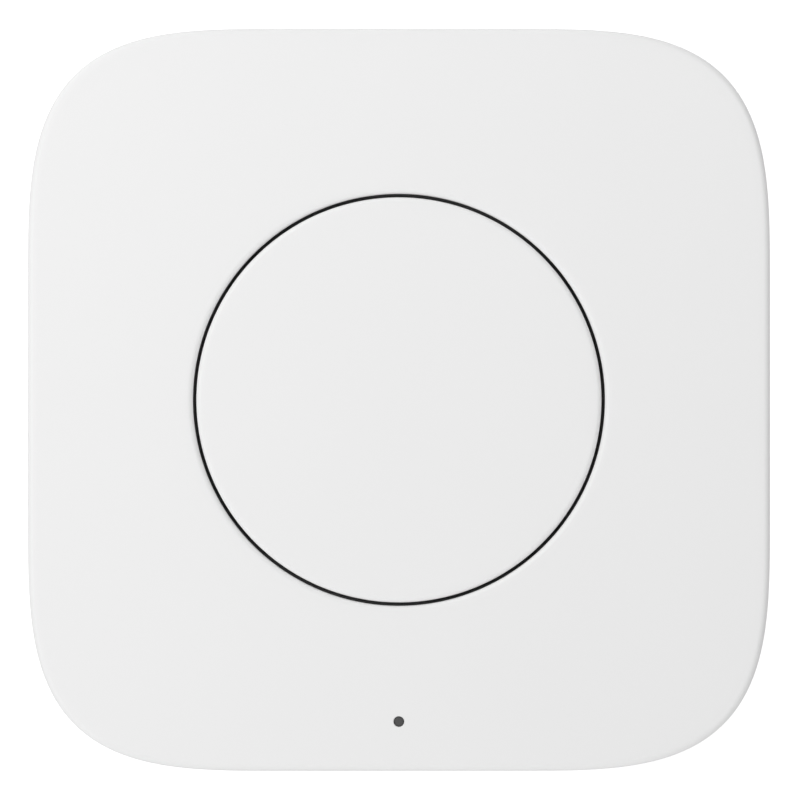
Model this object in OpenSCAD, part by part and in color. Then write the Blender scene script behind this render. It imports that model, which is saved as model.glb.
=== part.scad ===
// Wireless push button: a rounded-square case with a round press cap and a small status light.
// It lies on its back. Z = 0 is the adhesive face, +Z is the front, -Y is the side with the status light.

/* [Body] */
// Outside width of the square body
body_w = 45; // [44:0.5:50]
// Body thickness from rear face to front face, without the adhesive pad
body_t = 12; // [11.8:0.1:13]
// Length over which each corner curves
corner_l = 15.6; // [13:0.1:18]
// Power of the corner curve, 2 is a circle and higher is squarer
corner_power = 3.48; // [3:0.02:4]
// Side wall thickness of the front housing
wall = 1.5; // [1.2:0.1:1.6]
// Thickness of the front plate
front_t = 1.6; // [1.4:0.1:1.8]
// Radius of the front edge
front_edge_r = 0.4; // [0.2:0.1:1]
// Radius of the rear edge
rear_edge_r = 2; // [1:0.1:2.2]
// Outside height of the rear housing
rear_h = 3.2; // [2.8:0.1:3.4]
// Open joint line between the two housings
seam_gap = 0.25; // [0.1:0.05:0.4]
// Thickness of the rear plate
rear_t = 1.3; // [1.1:0.1:1.5]
// Thickness of the rear housing's locating lip
lip_t = 0.9; // [0.7:0.1:1]
// Height of the locating lip above the joint
lip_h = 1.4; // [1:0.1:1.5]
// Clearance between lip and front wall
lip_clearance = 0.1; // [0.05:0.05:0.2]

/* [Press cap] */
// Diameter of the press cap
cap_d = 24.56; // [22:0.02:25.5]
// Joint line between cap and front plate
cap_gap = 0.21; // [0.12:0.01:0.4]
// Thickness of the cap's top
cap_t = 1.3; // [1:0.1:1.5]
// Radius of the cap's edge
cap_edge_r = 0.3; // [0.1:0.05:0.5]
// Radius of the edge of the opening
opening_edge_r = 0.35; // [0.1:0.05:0.5]
// Thickness of the cap's skirt
skirt_t = 1.2; // [1:0.1:1.5]
// Width of the flange that holds the cap in
flange_w = 1.3; // [1:0.1:1.5]
// Thickness of the flange
flange_t = 0.7; // [0.5:0.1:0.8]
// Thickness of the cushion ring
cushion_t = 0.5; // [0.4:0.05:0.6]
// Press travel
press_travel = 0.3; // [0.2:0.05:0.4]
// Clearance between flange and guide ring
guide_clearance = 0.25; // [0.15:0.05:0.4]
// Wall of the guide ring
guide_t = 1.1; // [0.8:0.1:1.3]
// Diameter of the centre pusher
pusher_d = 3.4; // [2.6:0.1:4]
// Width of the cap's ribs
rib_w = 0.9; // [0.6:0.1:1.2]
// Diameter of the stop legs
leg_d = 0.9; // [0.7:0.05:0.9]

/* [Status light] */
// Diameter of the light hole in the front plate
light_hole_d = 0.64; // [0.5:0.02:1]
// Distance of the light from the lower edge of the body
light_edge = 3; // [2.9:0.02:3.4]
// How far the tip of the light pipe lies below the front
light_recess = 0.12; // [0:0.02:0.3]
// Diameter of the light pipe's body
pipe_d = 2; // [1.6:0.1:2.2]
// Clearance around the light pipe
pipe_clearance = 0.02; // [0.01:0.01:0.03]
// Wall of the light pipe's boss
pipe_boss_t = 0.8; // [0.6:0.1:1]

/* [Circuit board] */
// Thickness of the circuit board
board_t = 1; // [0.8:0.1:1.2]
// Gap between the board's edge and the wall
board_gap = 0.6; // [0.5:0.05:0.8]
// Distance of each screw from the middle lines
screw_pos = 14.6; // [14.2:0.1:15]
// Diameter of the screw shank
screw_d = 1.3; // [1.1:0.1:1.5]
// Diameter of the screw head
screw_head_d = 2.6; // [2.2:0.1:3]
// Height of the screw head
screw_head_h = 0.7; // [0.5:0.1:0.8]
// Length of the screw shank
screw_l = 4; // [3:0.1:4.2]
// Diameter of the screw bosses
boss_d = 4.2; // [3.6:0.1:4.6]

/* [Tactile switch] */
// Width of the square switch
switch_w = 6.2; // [6:0.1:6.6]
// Height of the switch base
switch_base_h = 1.6; // [1.5:0.05:1.7]
// Thickness of the steel cover plate
switch_cover_t = 0.2; // [0.15:0.05:0.25]
// Diameter of the stem
stem_d = 3.3; // [3:0.1:3.5]
// Height of the stem above the cover plate
stem_h = 0.7; // [0.6:0.05:0.9]

/* [Coin cell] */
// Diameter of the coin cell
cell_d = 20; // [19.6:0.1:20.2]
// Height of the coin cell
cell_h = 3.2; // [3:0.1:3.3]
// Room between the coin cell and the board for the leaf contact
contact_room = 0.45; // [0.4:0.05:0.5]

/* [Battery door] */
// Diameter of the battery door
door_d = 26; // [25.6:0.1:26.4]
// Thickness of the battery door
door_t = 1.3; // [1.2:0.1:1.5]
// Gap round the battery door
door_gap = 0.2; // [0.15:0.05:0.3]
// Angle from locked to free
turn_angle = 45; // [40:1:48]
// Angle that each bayonet lug covers
lug_angle = 26; // [22:1:28]
// Thickness of the lugs
lug_t = 0.8; // [0.6:0.1:0.9]
// Thickness of the ledge that the lugs hold behind
ledge_t = 0.9; // [0.7:0.1:1]
// Length of the coin slot
slot_l = 14; // [11:0.5:16]
// Width of the coin slot
slot_w = 1.8; // [1.5:0.1:2.2]
// Depth of the coin slot
slot_depth = 0.7; // [0.5:0.05:0.8]
// Thickness of the door seal's cord
seal_d = 0.6; // [0.5:0.05:0.65]

/* [Adhesive pad] */
// Thickness of the adhesive pad
pad_t = 0.8; // [0.5:0.1:1.2]
// Distance of the pad's edge from the outside of the body
pad_inset = 3.2; // [2.6:0.1:4]
// Width of the pad's ring at the middle of each side
pad_w = 4.1; // [3.6:0.1:4.4]

/* [Hidden] */
$fn = 96;
// Points along each corner of the outline and along each rounded edge
outline_steps = 26;
edge_steps = 6;
// Overlap of joined shapes, reach of a cut past its face, and gap between pieces that bear on each other
bite = 0.3;
over = 1;
seat_gap = 0.02;
// Angles of the three lugs, notches and stops of the bayonet
thirds = [0, 120, 240];

// Housings
body_half = body_w / 2;
corner_start = body_half - corner_l;
rear_z = pad_t;
front_z = rear_z + body_t;
plate_z = front_z - front_t;
rear_in_z = rear_z + rear_t;
seam_z = rear_z + rear_h;
front_low_z = seam_z + seam_gap;
lip_z = seam_z + lip_h;
slit_rise = 0.15;
slit_z = front_low_z + slit_rise;
lip_out = wall + lip_clearance;
lip_in = lip_out + lip_t;
wall_in_x = body_half - wall;

// Coin cell
door_in_z = rear_z + door_t;
cell_play = 0.05;
cell_r = cell_d / 2;
cell_z = door_in_z + cell_play;
cell_top_z = cell_z + cell_h;
cell_wall = 0.25;
can_edge_r = 0.3;
can_rim_drop = 0.15;
can_rim_z = cell_top_z - can_rim_drop;
can_rim_r = 0.45;
can_rim_angle = 70;
crimp_inset = 0.42;
crimp_depth = 0.28;
crimp_end = 0.5;
gasket_slope = 0.05;
negative_cap_inset = 1.15;
negative_cap_r = cell_r - negative_cap_inset;
negative_cap_edge_r = 0.4;
negative_cap_lift = 0.6;

// Circuit board and its screws
board_z = cell_top_z + contact_room;
board_top_z = board_z + board_t;
board_inset = wall + board_gap;
board_half = body_half - board_inset;
screw_hole_gap = 0.15;
board_notch_gap = 0.25;
board_notch_play = 0.6;
pilot_spare = 0.3;
pilot_depth = screw_l - board_t + pilot_spare;
cross_l = 1.6;
cross_w = 0.36;
cross_depth = 0.4;

// Press cap
cap_r = cap_d / 2;
opening_r = cap_r + cap_gap;
cap_under_z = front_z - cap_t;
flange_r = cap_r + flange_w;
flange_top_z = plate_z - cushion_t;
flange_z = flange_top_z - flange_t;
cushion_inset = 0.05;
skirt_in_r = cap_r - skirt_t;
rib_lift = 0.6;
guide_r = flange_r + guide_clearance;
guide_reach = 0.4;
guide_z = flange_z - press_travel - guide_reach;
leg_play = 0.1;
leg_r_pos = cap_r - skirt_t / 2;
leg_z = board_top_z + press_travel + leg_play;

// Tactile switch
cover_inset = 0.05;
cover_z = board_top_z + switch_base_h;
cover_top_z = cover_z + switch_cover_t;
stem_gap = 0.1;
stem_top_z = cover_top_z + stem_h;
stem_chamfer = 0.15;
stem_flange_w = 0.3;
stem_flange_t = 0.35;
stem_low_z = cover_z - stem_flange_t - seat_gap;
dome_d = 4;
dome_t = 0.1;
dome_play = 0.15;
dome_floor = 0.55;
dome_floor_gap = 0.01;
dome_low_z = board_top_z + dome_floor;
dome_rise = stem_low_z - seat_gap - dome_low_z;
dome_sphere_r = (pow(dome_d / 2, 2) + pow(dome_rise, 2)) / (2 * dome_rise);
dome_top_angle = 84;
lead_t = 0.2;
lead_w = 0.7;
lead_bend = 0.35;
lead_slant = 0.7 * lead_t;
lead_reach = 1.4;
lead_rise = 0.5;
lead_pitch = 4.5;

// Status light
light_y = body_half - light_edge;
led_w = 1.6;
led_l = 0.8;
led_base_h = 0.3;
led_lens_h = 0.3;
led_lens_inset = 0.25;
led_top_z = board_top_z + led_base_h + led_lens_h;
led_gap = 0.2;
pipe_r = pipe_d / 2;
pipe_z = led_top_z + led_gap;
pipe_wall_gap = 0.1;
pipe_flange_r = light_edge - wall - pipe_wall_gap;
pipe_flange_t = 0.8;
pipe_flange_top_z = pipe_z + pipe_flange_t;
tip_l = 1.2;
pipe_shoulder_z = front_z - tip_l;
pipe_boss_r = pipe_r + pipe_clearance + pipe_boss_t;
tip_r = light_hole_d / 2 - pipe_clearance;

// Snap hooks and their catches
hook_y = 8;
hook_w = 5;
hook_t = 0.8;
hook_reach = 0.5;
hook_gap = 0.1;
hook_side_gap = 0.8;
hook_nose_h = 0.2;
hook_slope_h = 0.65;
hook_tip_back = 0.1;
catch_depth = 0.55;
catch_h = 0.75;
catch_rise = 1.45;
catch_side = 0.1;
catch_x = wall_in_x - catch_depth;
hook_x = catch_x - hook_gap;
catch_z = front_low_z + catch_rise;
catch_top_z = catch_z + catch_h;
hook_nose_z = catch_top_z + hook_gap;
hook_top_z = hook_nose_z + hook_nose_h + hook_slope_h;

// Battery door and its bayonet
door_r = door_d / 2;
door_chamfer = 0.2;
recess_r = door_r + door_gap;
neck_gap = 0.2;
neck_t = 0.9;
neck_in_r = cell_r + neck_gap;
neck_r = neck_in_r + neck_t;
bore_gap = 0.2;
bore_r = neck_r + bore_gap;
lug_reach = 1.2;
lug_r = neck_r + lug_reach;
notch_gap = 0.2;
notch_r = lug_r + notch_gap;
lug_way_gap = 0.3;
lug_way_r = lug_r + lug_way_gap;
collar_t = 1.5;
collar_r = recess_r + collar_t;
ledge_gap = 0.15;
ledge_z = door_in_z + ledge_gap;
ledge_top_z = ledge_z + ledge_t;
lug_gap = 0.1;
lug_z = ledge_top_z + lug_gap;
lug_top_z = lug_z + lug_t;
neck_lift = 0.1;
neck_top_z = lug_top_z + neck_lift;
collar_lift = 0.3;
collar_top_z = lug_top_z + collar_lift;
lug_play = 2;
stop_play = 2.5;
stop_inset = 0.2;
lug_mid = 90;
stop_start = lug_mid + lug_angle / 2 + stop_play;
stop_end = lug_mid + 120 - turn_angle - lug_angle / 2 - stop_play;
slot_cut_r = (pow(slot_l / 2, 2) + pow(slot_depth, 2)) / (2 * slot_depth);
seal_gap = 0.03;
seal_out_r = recess_r - seal_gap;
seal_r = seal_out_r - seal_d / 2;
groove_floor_gap = 0.01;
seal_groove_r = seal_out_r - seal_d - groove_floor_gap;
groove_side_gap = 0.04;
seal_groove_h = seal_d + 2 * groove_side_gap;
seal_lift = 0.05;
seal_z = rear_z + door_t / 2 + seal_lift;
mark_r = 0.35;
mark_depth = 0.2;
mark_gap = 0.85;
mark_pos = recess_r + mark_gap;
door_mark_inset = 1.2;
door_mark_pos = door_r - door_mark_inset;
pad_hole_r = body_half - pad_inset - pad_w;

// Battery contacts
contact_t = 0.25;
contact_l = 3.5;
contact_w = 4;
leaf_gap = 0.25;
leaf_x = cell_r + leaf_gap;
leaf_end_gap = 0.2;
leaf_low_z = neck_top_z + leaf_end_gap;
bump_r = 0.3;
bump_l = 3;
bump_gap = 0.03;
bump_x = cell_r + bump_gap + bump_r;
bump_lift = 0.1;
bump_z = leaf_low_z + bump_r + bump_lift;
strip_t = 0.2;
leaf_l = 10.6;
leaf_base_l = 4;
leaf_base_inset = 0.2;
leaf_bend = 0.1;
leaf_foot_l = 1.6;
leaf_tip_l = 0.5;
leaf_tip_rise = 0.12;
leaf_w = 2.2;
leaf_pitch = 3.2;
touch_z = cell_top_z + seat_gap;

// Components on the board
trace_t = 0.06;
antenna_w = 0.5;
antenna_pitch = 1.3;
antenna_turns = 14;
antenna_h = 2.6;
antenna_edge = 1.2;
antenna_y = board_half - antenna_edge - antenna_h;
chip_w = 6;
chip_h = 0.85;
chip_x = -8;
chip_y = 7;
pin_mark_r = 0.3;
pin_mark_inset = 0.8;
pin_mark_depth = 0.1;
crystal_w = 3.2;
crystal_l = 2.5;
crystal_base_h = 0.4;
crystal_h = 0.75;
crystal_lid_inset = 0.2;
crystal_corner_r = 0.3;
crystal_gap = 1;
crystal_shift = 1.6;
crystal_x = chip_x + chip_w / 2 + crystal_gap + crystal_w / 2;
crystal_y = chip_y + crystal_shift;
small_l = 1;
small_w = 0.5;
capacitor_h = 0.5;
resistor_h = 0.35;
small_pitch = 1.6;
row_gap = 1.4;
row_y = chip_y - chip_w / 2 - row_gap;
column_gap = 2.2;
column_x = chip_x - chip_w / 2 - column_gap;
stack_pitch = 0.9;
stack_gap = 0.75;
stack_y = crystal_y + crystal_l / 2 + stack_gap;
reservoir_l = 3.2;
reservoir_w = 1.6;
reservoir_x = 7;
reservoir_y = -9.4;
large_l = 1.6;
large_w = 0.8;
large_pitch = 1.2;
large_x = reservoir_x + reservoir_l;
large_gap = 2.4;
large_y = reservoir_y + large_gap;
test_pad_r = 0.6;
test_pad_pitch = 2;
test_pad_edge = 3.2;
test_pad_y = test_pad_edge - board_half;

// Points of a circular arc
function arc(middle, radius, from, to, steps) =
    [for (i = [0:steps])
        let (a = from + (to - from) * i / steps)
        middle + radius * [cos(a), sin(a)]];

// One point of the corner curve in the first quarter, moved inwards along its normal
function corner_point(angle, inset) =
    let (
        along = [pow(cos(angle), 2 / corner_power), pow(sin(angle), 2 / corner_power)],
        across = [pow(cos(angle), 2 - 2 / corner_power), pow(sin(angle), 2 - 2 / corner_power)]
    )
    [corner_start, corner_start] + corner_l * along - inset * across / norm(across);

// The body's outline, moved inwards by the inset
function outline(inset) =
    [for (quarter = [0:3], i = [0:outline_steps])
        let (p = corner_point(90 * i / outline_steps, inset), c = cos(90 * quarter), s = sin(90 * quarter))
        [c * p.x - s * p.y, s * p.x + c * p.y]];

// Points of a rectangle with rounded corners
function rounded_rect(w, l, r) =
    concat(arc([w / 2 - r, l / 2 - r], r, 0, 90, 4), arc([r - w / 2, l / 2 - r], r, 90, 180, 4),
        arc([r - w / 2, r - l / 2], r, 180, 270, 4), arc([w / 2 - r, r - l / 2], r, 270, 360, 4));

// Solid between stacked outlines, each given as inset and height
module stacked(levels) {
    n = 4 * (outline_steps + 1);
    points = [for (level = levels) for (p = outline(level[0])) [p.x, p.y, level[1]]];
    last = len(levels) - 1;
    low = [[for (i = [0:n - 1]) i]];
    high = [[for (i = [n - 1:-1:0]) last * n + i]];
    sides = [for (k = [0:last - 1], i = [0:n - 1])
        [k * n + i, (k + 1) * n + i, (k + 1) * n + (i + 1) % n, k * n + (i + 1) % n]];
    polyhedron(points, concat(low, high, sides), convexity = 8);
}

// Straight block with the body's outline
module outline_block(inset, low, high) {
    translate([0, 0, low])
        linear_extrude(high - low)
            polygon(outline(inset));
}

// Straight ring or disc about the Z axis
module ring(inner, outer, low, high) {
    rotate_extrude()
        translate([inner, low])
            square([outer - inner, high - low]);
}

// Part of a ring, from one angle over a sweep
module ring_part(inner, outer, low, high, from, sweep) {
    rotate([0, 0, from])
        rotate_extrude(angle = sweep)
            translate([inner, low])
                square([outer - inner, high - low]);
}

// Upright round pin
module pin(x, y, radius, low, high) {
    translate([x, y, low])
        cylinder(r = radius, h = high - low);
}

// Box given by its middle in plan, its size and its height range
module block(x, y, w, l, low, high) {
    translate([x - w / 2, y - l / 2, low])
        cube([w, l, high - low]);
}

// Profile in X and Z, drawn along Y about the middle
module strip(points, width) {
    translate([0, width / 2, 0])
        rotate([90, 0, 0])
            linear_extrude(width)
                polygon(points);
}

// Places of the four board screws
module at_screws() {
    for (sx = [-1, 1], sy = [-1, 1])
        translate([sx * screw_pos, sy * screw_pos, 0])
            children();
}

// Places of the four snap hooks, each facing outwards along X
module at_hooks() {
    for (side = [0, 180], y = [-hook_y, hook_y])
        rotate([0, 0, side])
            translate([0, y, 0])
                children();
}

// Front shell with front plate, side walls, guide ring, bosses and snap catches
module front_housing() {
    levels = concat([[0, front_low_z]], [for (i = [0:edge_steps])
        let (a = 90 * i / edge_steps)
        [front_edge_r * (1 - cos(a)), front_z - front_edge_r * (1 - sin(a))]]);
    opening = concat([[0, plate_z - over], [opening_r, plate_z - over]],
        arc([opening_r + opening_edge_r, front_z - opening_edge_r], opening_edge_r, 180, 90, edge_steps),
        [[opening_r + opening_edge_r, front_z + over], [0, front_z + over]]);
    color("whitesmoke")
        difference() {
            union() {
                difference() {
                    stacked(levels);
                    outline_block(wall, front_low_z - over, plate_z);
                }
                ring(guide_r, guide_r + guide_t, guide_z, plate_z + bite);
                at_screws()
                    pin(0, 0, boss_d / 2, board_top_z, plate_z + bite);
                pin(0, -light_y, pipe_boss_r, pipe_flange_top_z + seat_gap, plate_z + bite);
                at_hooks()
                    block((catch_x + wall_in_x + bite) / 2, 0, catch_depth + bite, hook_w + 2 * catch_side,
                        catch_z, catch_top_z);
            }
            rotate_extrude()
                polygon(opening);
            at_screws()
                pin(0, 0, screw_d / 2 + seat_gap, board_top_z - over, board_top_z + pilot_depth);
            pin(0, -light_y, pipe_r + pipe_clearance, pipe_z, pipe_shoulder_z + seat_gap);
            pin(0, -light_y, light_hole_d / 2, pipe_z, front_z + over);
        }
}

// Press cap with skirt, flange, ribs, centre pusher and stop legs
module button_cap() {
    profile = concat([[0, cap_under_z], [skirt_in_r, cap_under_z], [skirt_in_r, flange_z],
        [flange_r, flange_z], [flange_r, flange_top_z], [cap_r, flange_top_z]],
        arc([cap_r - cap_edge_r, front_z - cap_edge_r], cap_edge_r, 0, 90, edge_steps), [[0, front_z]]);
    color("white") {
        union() {
            rotate_extrude()
                polygon(profile);
            pin(0, 0, pusher_d / 2, stem_top_z, cap_under_z + bite);
            for (a = [45, 135])
                rotate([0, 0, a])
                    block(0, 0, 2 * skirt_in_r + 2 * bite, rib_w, flange_z + rib_lift, cap_under_z + bite);
            for (a = [0:90:270])
                rotate([0, 0, a])
                    pin(leg_r_pos, 0, leg_d / 2, leg_z, flange_z + bite);
        }
    }
}

// Silicone ring between the cap's flange and the front plate
module cushion_ring() {
    color("dimgray")
        ring(cap_r + seat_gap, flange_r - cushion_inset, flange_top_z, plate_z);
}

// Light pipe from the emitter to the small hole in the front plate
module light_pipe() {
    tip_z = front_z - light_recess;
    profile = [[0, pipe_z], [pipe_flange_r, pipe_z], [pipe_flange_r, pipe_flange_top_z],
        [pipe_r, pipe_flange_top_z], [pipe_r, pipe_shoulder_z], [tip_r, pipe_shoulder_z], [tip_r, tip_z],
        [0, tip_z]];
    color("dimgray")
        translate([0, -light_y, 0])
            rotate_extrude()
                polygon(profile);
}

// Rear shell with lip, snap hooks, battery well, bayonet ledge and stops
module rear_housing() {
    levels = concat([for (i = [0:edge_steps])
        let (a = 90 * i / edge_steps)
        [rear_edge_r * (1 - sin(a)), rear_z + rear_edge_r * (1 - cos(a))]], [[0, seam_z]]);
    well = [[0, rear_z - over], [recess_r, rear_z - over], [recess_r, ledge_z], [bore_r, ledge_z],
        [bore_r, ledge_top_z], [lug_way_r, ledge_top_z], [lug_way_r, collar_top_z + over],
        [0, collar_top_z + over]];
    hook = [[hook_x - hook_t, rear_in_z - bite], [hook_x, rear_in_z - bite], [hook_x, hook_nose_z],
        [hook_x + hook_reach, hook_nose_z], [hook_x + hook_reach, hook_nose_z + hook_nose_h],
        [hook_x - hook_tip_back, hook_top_z], [hook_x - hook_t, hook_top_z]];
    color("white") {
        difference() {
            union() {
                difference() {
                    union() {
                        stacked(levels);
                        outline_block(lip_out, rear_in_z, lip_z);
                    }
                    outline_block(lip_in, rear_in_z, lip_z + over);
                    at_hooks()
                        block(body_half - lip_out, 0, 2 * lip_t + 3 * hook_t, hook_w + 2 * hook_side_gap,
                            slit_z, lip_z + over);
                }
                ring(0, collar_r, rear_in_z - bite, collar_top_z);
                at_hooks()
                    strip(hook, hook_w);
            }
            rotate_extrude()
                polygon(well);
            for (a = thirds)
                ring_part(neck_in_r, notch_r, ledge_z - bite, ledge_top_z + bite,
                    a + lug_mid - turn_angle - lug_angle / 2 - lug_play, lug_angle + 2 * lug_play);
            for (a = [0, turn_angle])
                rotate([0, 0, lug_mid - a])
                    pin(mark_pos, 0, mark_r, rear_z - over, rear_z + mark_depth);
        }
        for (a = thirds)
            ring_part(bore_r + stop_inset, lug_way_r + bite, ledge_top_z - bite, lug_top_z,
                a + stop_start, stop_end - stop_start);
    }
}

// Twist door with coin slot, seal groove, neck and bayonet lugs
module battery_door() {
    groove_low = seal_z - seal_groove_h / 2;
    groove_high = seal_z + seal_groove_h / 2;
    profile = [[0, rear_z], [door_r - door_chamfer, rear_z], [door_r, rear_z + door_chamfer],
        [door_r, groove_low], [seal_groove_r, groove_low], [seal_groove_r, groove_high],
        [door_r, groove_high], [door_r, door_in_z], [neck_r, door_in_z], [neck_r, neck_top_z],
        [neck_in_r, neck_top_z], [neck_in_r, door_in_z], [0, door_in_z]];
    color("white")
        difference() {
            union() {
                rotate_extrude()
                    polygon(profile);
                for (a = thirds)
                    ring_part(neck_r - bite, lug_r, lug_z, lug_top_z, a + lug_mid - lug_angle / 2,
                        lug_angle);
            }
            translate([0, slot_w / 2, rear_z + slot_depth - slot_cut_r])
                rotate([90, 0, 0])
                    cylinder(r = slot_cut_r, h = slot_w);
            rotate([0, 0, lug_mid])
                pin(door_mark_pos, 0, mark_r, rear_z - over, rear_z + mark_depth);
        }
}

// Round seal in the rim of the battery door
module door_seal() {
    color("dimgray")
        rotate_extrude()
            translate([seal_r, seal_z])
                circle(d = seal_d);
}

// Foam tape ring on the rear face
module adhesive_pad() {
    color("gainsboro")
        difference() {
            outline_block(pad_inset, 0, pad_t);
            pin(0, 0, pad_hole_r, -over, pad_t + over);
        }
}

// Circuit board with screw holes and notches for the snap hooks
module circuit_board() {
    color("darkgreen")
        difference() {
            outline_block(board_inset, board_z, board_top_z);
            at_screws()
                pin(0, 0, screw_d / 2 + screw_hole_gap, board_z - over, board_top_z + over);
            at_hooks()
                block(board_half, 0, 2 * (board_half - hook_x + hook_t + board_notch_gap),
                    hook_w + 2 * board_notch_play, board_z - over, board_top_z + over);
        }
}

// Four screws that hold the board to the front shell
module board_screws() {
    color("silver")
        at_screws()
            difference() {
                union() {
                    pin(0, 0, screw_head_d / 2, board_z - screw_head_h, board_z);
                    pin(0, 0, screw_d / 2, board_z - bite, board_z + screw_l);
                }
                for (a = [0, 90])
                    rotate([0, 0, a])
                        block(0, 0, cross_l, cross_w, board_z - screw_head_h - over,
                            board_z - screw_head_h + cross_depth);
            }
}

// Moulded base of the tactile switch, open above the snap dome
module switch_base() {
    color("black")
        difference() {
            block(0, 0, switch_w, switch_w, board_top_z, cover_z);
            pin(0, 0, dome_d / 2 + dome_play, dome_low_z - dome_floor_gap, cover_z + over);
        }
}

// Steel plate over the switch with a round hole for the stem
module switch_cover() {
    color("silver")
        difference() {
            block(0, 0, switch_w - 2 * cover_inset, switch_w - 2 * cover_inset, cover_z, cover_top_z);
            pin(0, 0, stem_d / 2 + stem_gap, cover_z - over, cover_top_z + over);
        }
}

// Snap dome under the stem
module switch_dome() {
    middle = [0, dome_low_z + dome_rise - dome_sphere_r];
    inner_r = dome_sphere_r - dome_t;
    edge = acos(dome_d / 2 / dome_sphere_r);
    inner_edge = asin(dome_sphere_r * sin(edge) / inner_r);
    top_share = sin(dome_top_angle);
    profile = concat(arc(middle, dome_sphere_r, edge, dome_top_angle, edge_steps),
        [middle + [0, dome_sphere_r * top_share], middle + [0, inner_r * top_share]],
        arc(middle, inner_r, dome_top_angle, inner_edge, edge_steps));
    color("goldenrod")
        rotate_extrude()
            polygon(profile);
}

// Stem with the flange that keeps it under the cover plate
module switch_stem() {
    stem_r = stem_d / 2;
    step_z = stem_low_z + stem_flange_t;
    flange_out = stem_r + stem_flange_w;
    profile = [[0, stem_low_z], [flange_out, stem_low_z], [flange_out, step_z], [stem_r, step_z],
        [stem_r, stem_top_z - stem_chamfer], [stem_r - stem_chamfer, stem_top_z], [0, stem_top_z]];
    color("dimgray")
        rotate_extrude()
            polygon(profile);
}

// Four bent leads of the tactile switch
module switch_terminals() {
    inner = switch_w / 2;
    bend_x = inner + lead_bend;
    foot_x = bend_x + lead_t;
    low_z = board_top_z + lead_rise;
    lead = [[inner, low_z], [bend_x, low_z], [foot_x, board_top_z], [inner + lead_reach, board_top_z],
        [inner + lead_reach, board_top_z + lead_t], [foot_x + lead_slant, board_top_z + lead_t],
        [bend_x + lead_slant, low_z + lead_t], [inner, low_z + lead_t]];
    color("silver")
        for (side = [0, 180], row = [-1, 1])
            rotate([0, 0, side])
                translate([0, row * lead_pitch / 2, 0])
                    strip(lead, lead_w);
}

// Base of the status light emitter
module led_base() {
    color("white")
        block(0, -light_y, led_w, led_l, board_top_z, board_top_z + led_base_h);
}

// Resin lens of the status light emitter
module led_lens() {
    color("lightyellow")
        block(0, -light_y, led_w - 2 * led_lens_inset, led_l, board_top_z + led_base_h, led_top_z);
}

// Radio microcontroller with a mark at its first pin
module radio_chip() {
    color("black")
        difference() {
            block(chip_x, chip_y, chip_w, chip_w, board_top_z, board_top_z + chip_h);
            translate([chip_x - chip_w / 2 + pin_mark_inset, chip_y + chip_w / 2 - pin_mark_inset, 0])
                pin(0, 0, pin_mark_r, board_top_z + chip_h - pin_mark_depth, board_top_z + chip_h + over);
        }
}

// Quartz crystal in a round-cornered metal lid
module radio_crystal() {
    color("silver") {
        union() {
            block(crystal_x, crystal_y, crystal_w, crystal_l, board_top_z, board_top_z + crystal_base_h);
            translate([crystal_x, crystal_y, board_top_z + crystal_base_h / 2])
                linear_extrude(crystal_h - crystal_base_h / 2)
                    polygon(rounded_rect(crystal_w - 2 * crystal_lid_inset, crystal_l - 2 * crystal_lid_inset,
                        crystal_corner_r));
        }
    }
}

// Copper meander along the upper edge of the board
module antenna_trace() {
    color("goldenrod")
        translate([-antenna_turns * antenna_pitch / 2, antenna_y, board_top_z])
            linear_extrude(trace_t)
                union() {
                    for (i = [0:antenna_turns])
                        translate([i * antenna_pitch - antenna_w / 2, 0])
                            square([antenna_w, antenna_h]);
                    for (i = [0:antenna_turns - 1])
                        translate([i * antenna_pitch - antenna_w / 2, (1 - i % 2) * (antenna_h - antenna_w)])
                            square([antenna_pitch + antenna_w, antenna_w]);
                }
}

// Chip capacitors beside the radio and along the supply
module ceramic_capacitors() {
    color("tan") {
        for (i = [0:3])
            block(chip_x + small_pitch * (i - 1.5), row_y, small_w, small_l,
                board_top_z, board_top_z + capacitor_h);
        for (i = [0:2])
            block(crystal_x, stack_y + stack_pitch * i, small_l, small_w,
                board_top_z, board_top_z + capacitor_h);
        for (i = [0:2])
            block(large_x, large_y + large_pitch * i, large_l, large_w,
                board_top_z, board_top_z + large_w);
    }
}

// Chip resistors beside the radio and the status light
module chip_resistors() {
    color("black") {
        for (i = [0:3])
            block(column_x, chip_y + small_pitch * (i - 1.5), small_l, small_w,
                board_top_z, board_top_z + resistor_h);
        for (i = [0:1])
            block(2 * led_w + small_pitch * i, led_w - light_y, small_w, small_l,
                board_top_z, board_top_z + resistor_h);
    }
}

// Moulded capacitor that carries the radio's bursts
module reservoir_capacitor() {
    color("darkgoldenrod")
        block(reservoir_x, reservoir_y, reservoir_l, reservoir_w, board_top_z, board_top_z + reservoir_w);
}

// Round test pads on the rear of the board
module test_pads() {
    color("gold")
        for (i = [-2:2])
            pin(test_pad_pitch * i, test_pad_y, test_pad_r, board_z - trace_t, board_z);
}

// Two side springs that press on the cell's can
module positive_contacts() {
    base_z = board_z - contact_t;
    color("khaki")
        for (side = [0, 180])
            rotate([0, 0, side]) {
                union() {
                    block(leaf_x + contact_l / 2, 0, contact_l, contact_w, base_z, board_z);
                    block(leaf_x + contact_t / 2, 0, contact_t, contact_w, leaf_low_z, board_z);
                    translate([bump_x, bump_l / 2, bump_z])
                        rotate([90, 0, 0])
                            cylinder(r = bump_r, h = bump_l);
                }
            }
}

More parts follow.
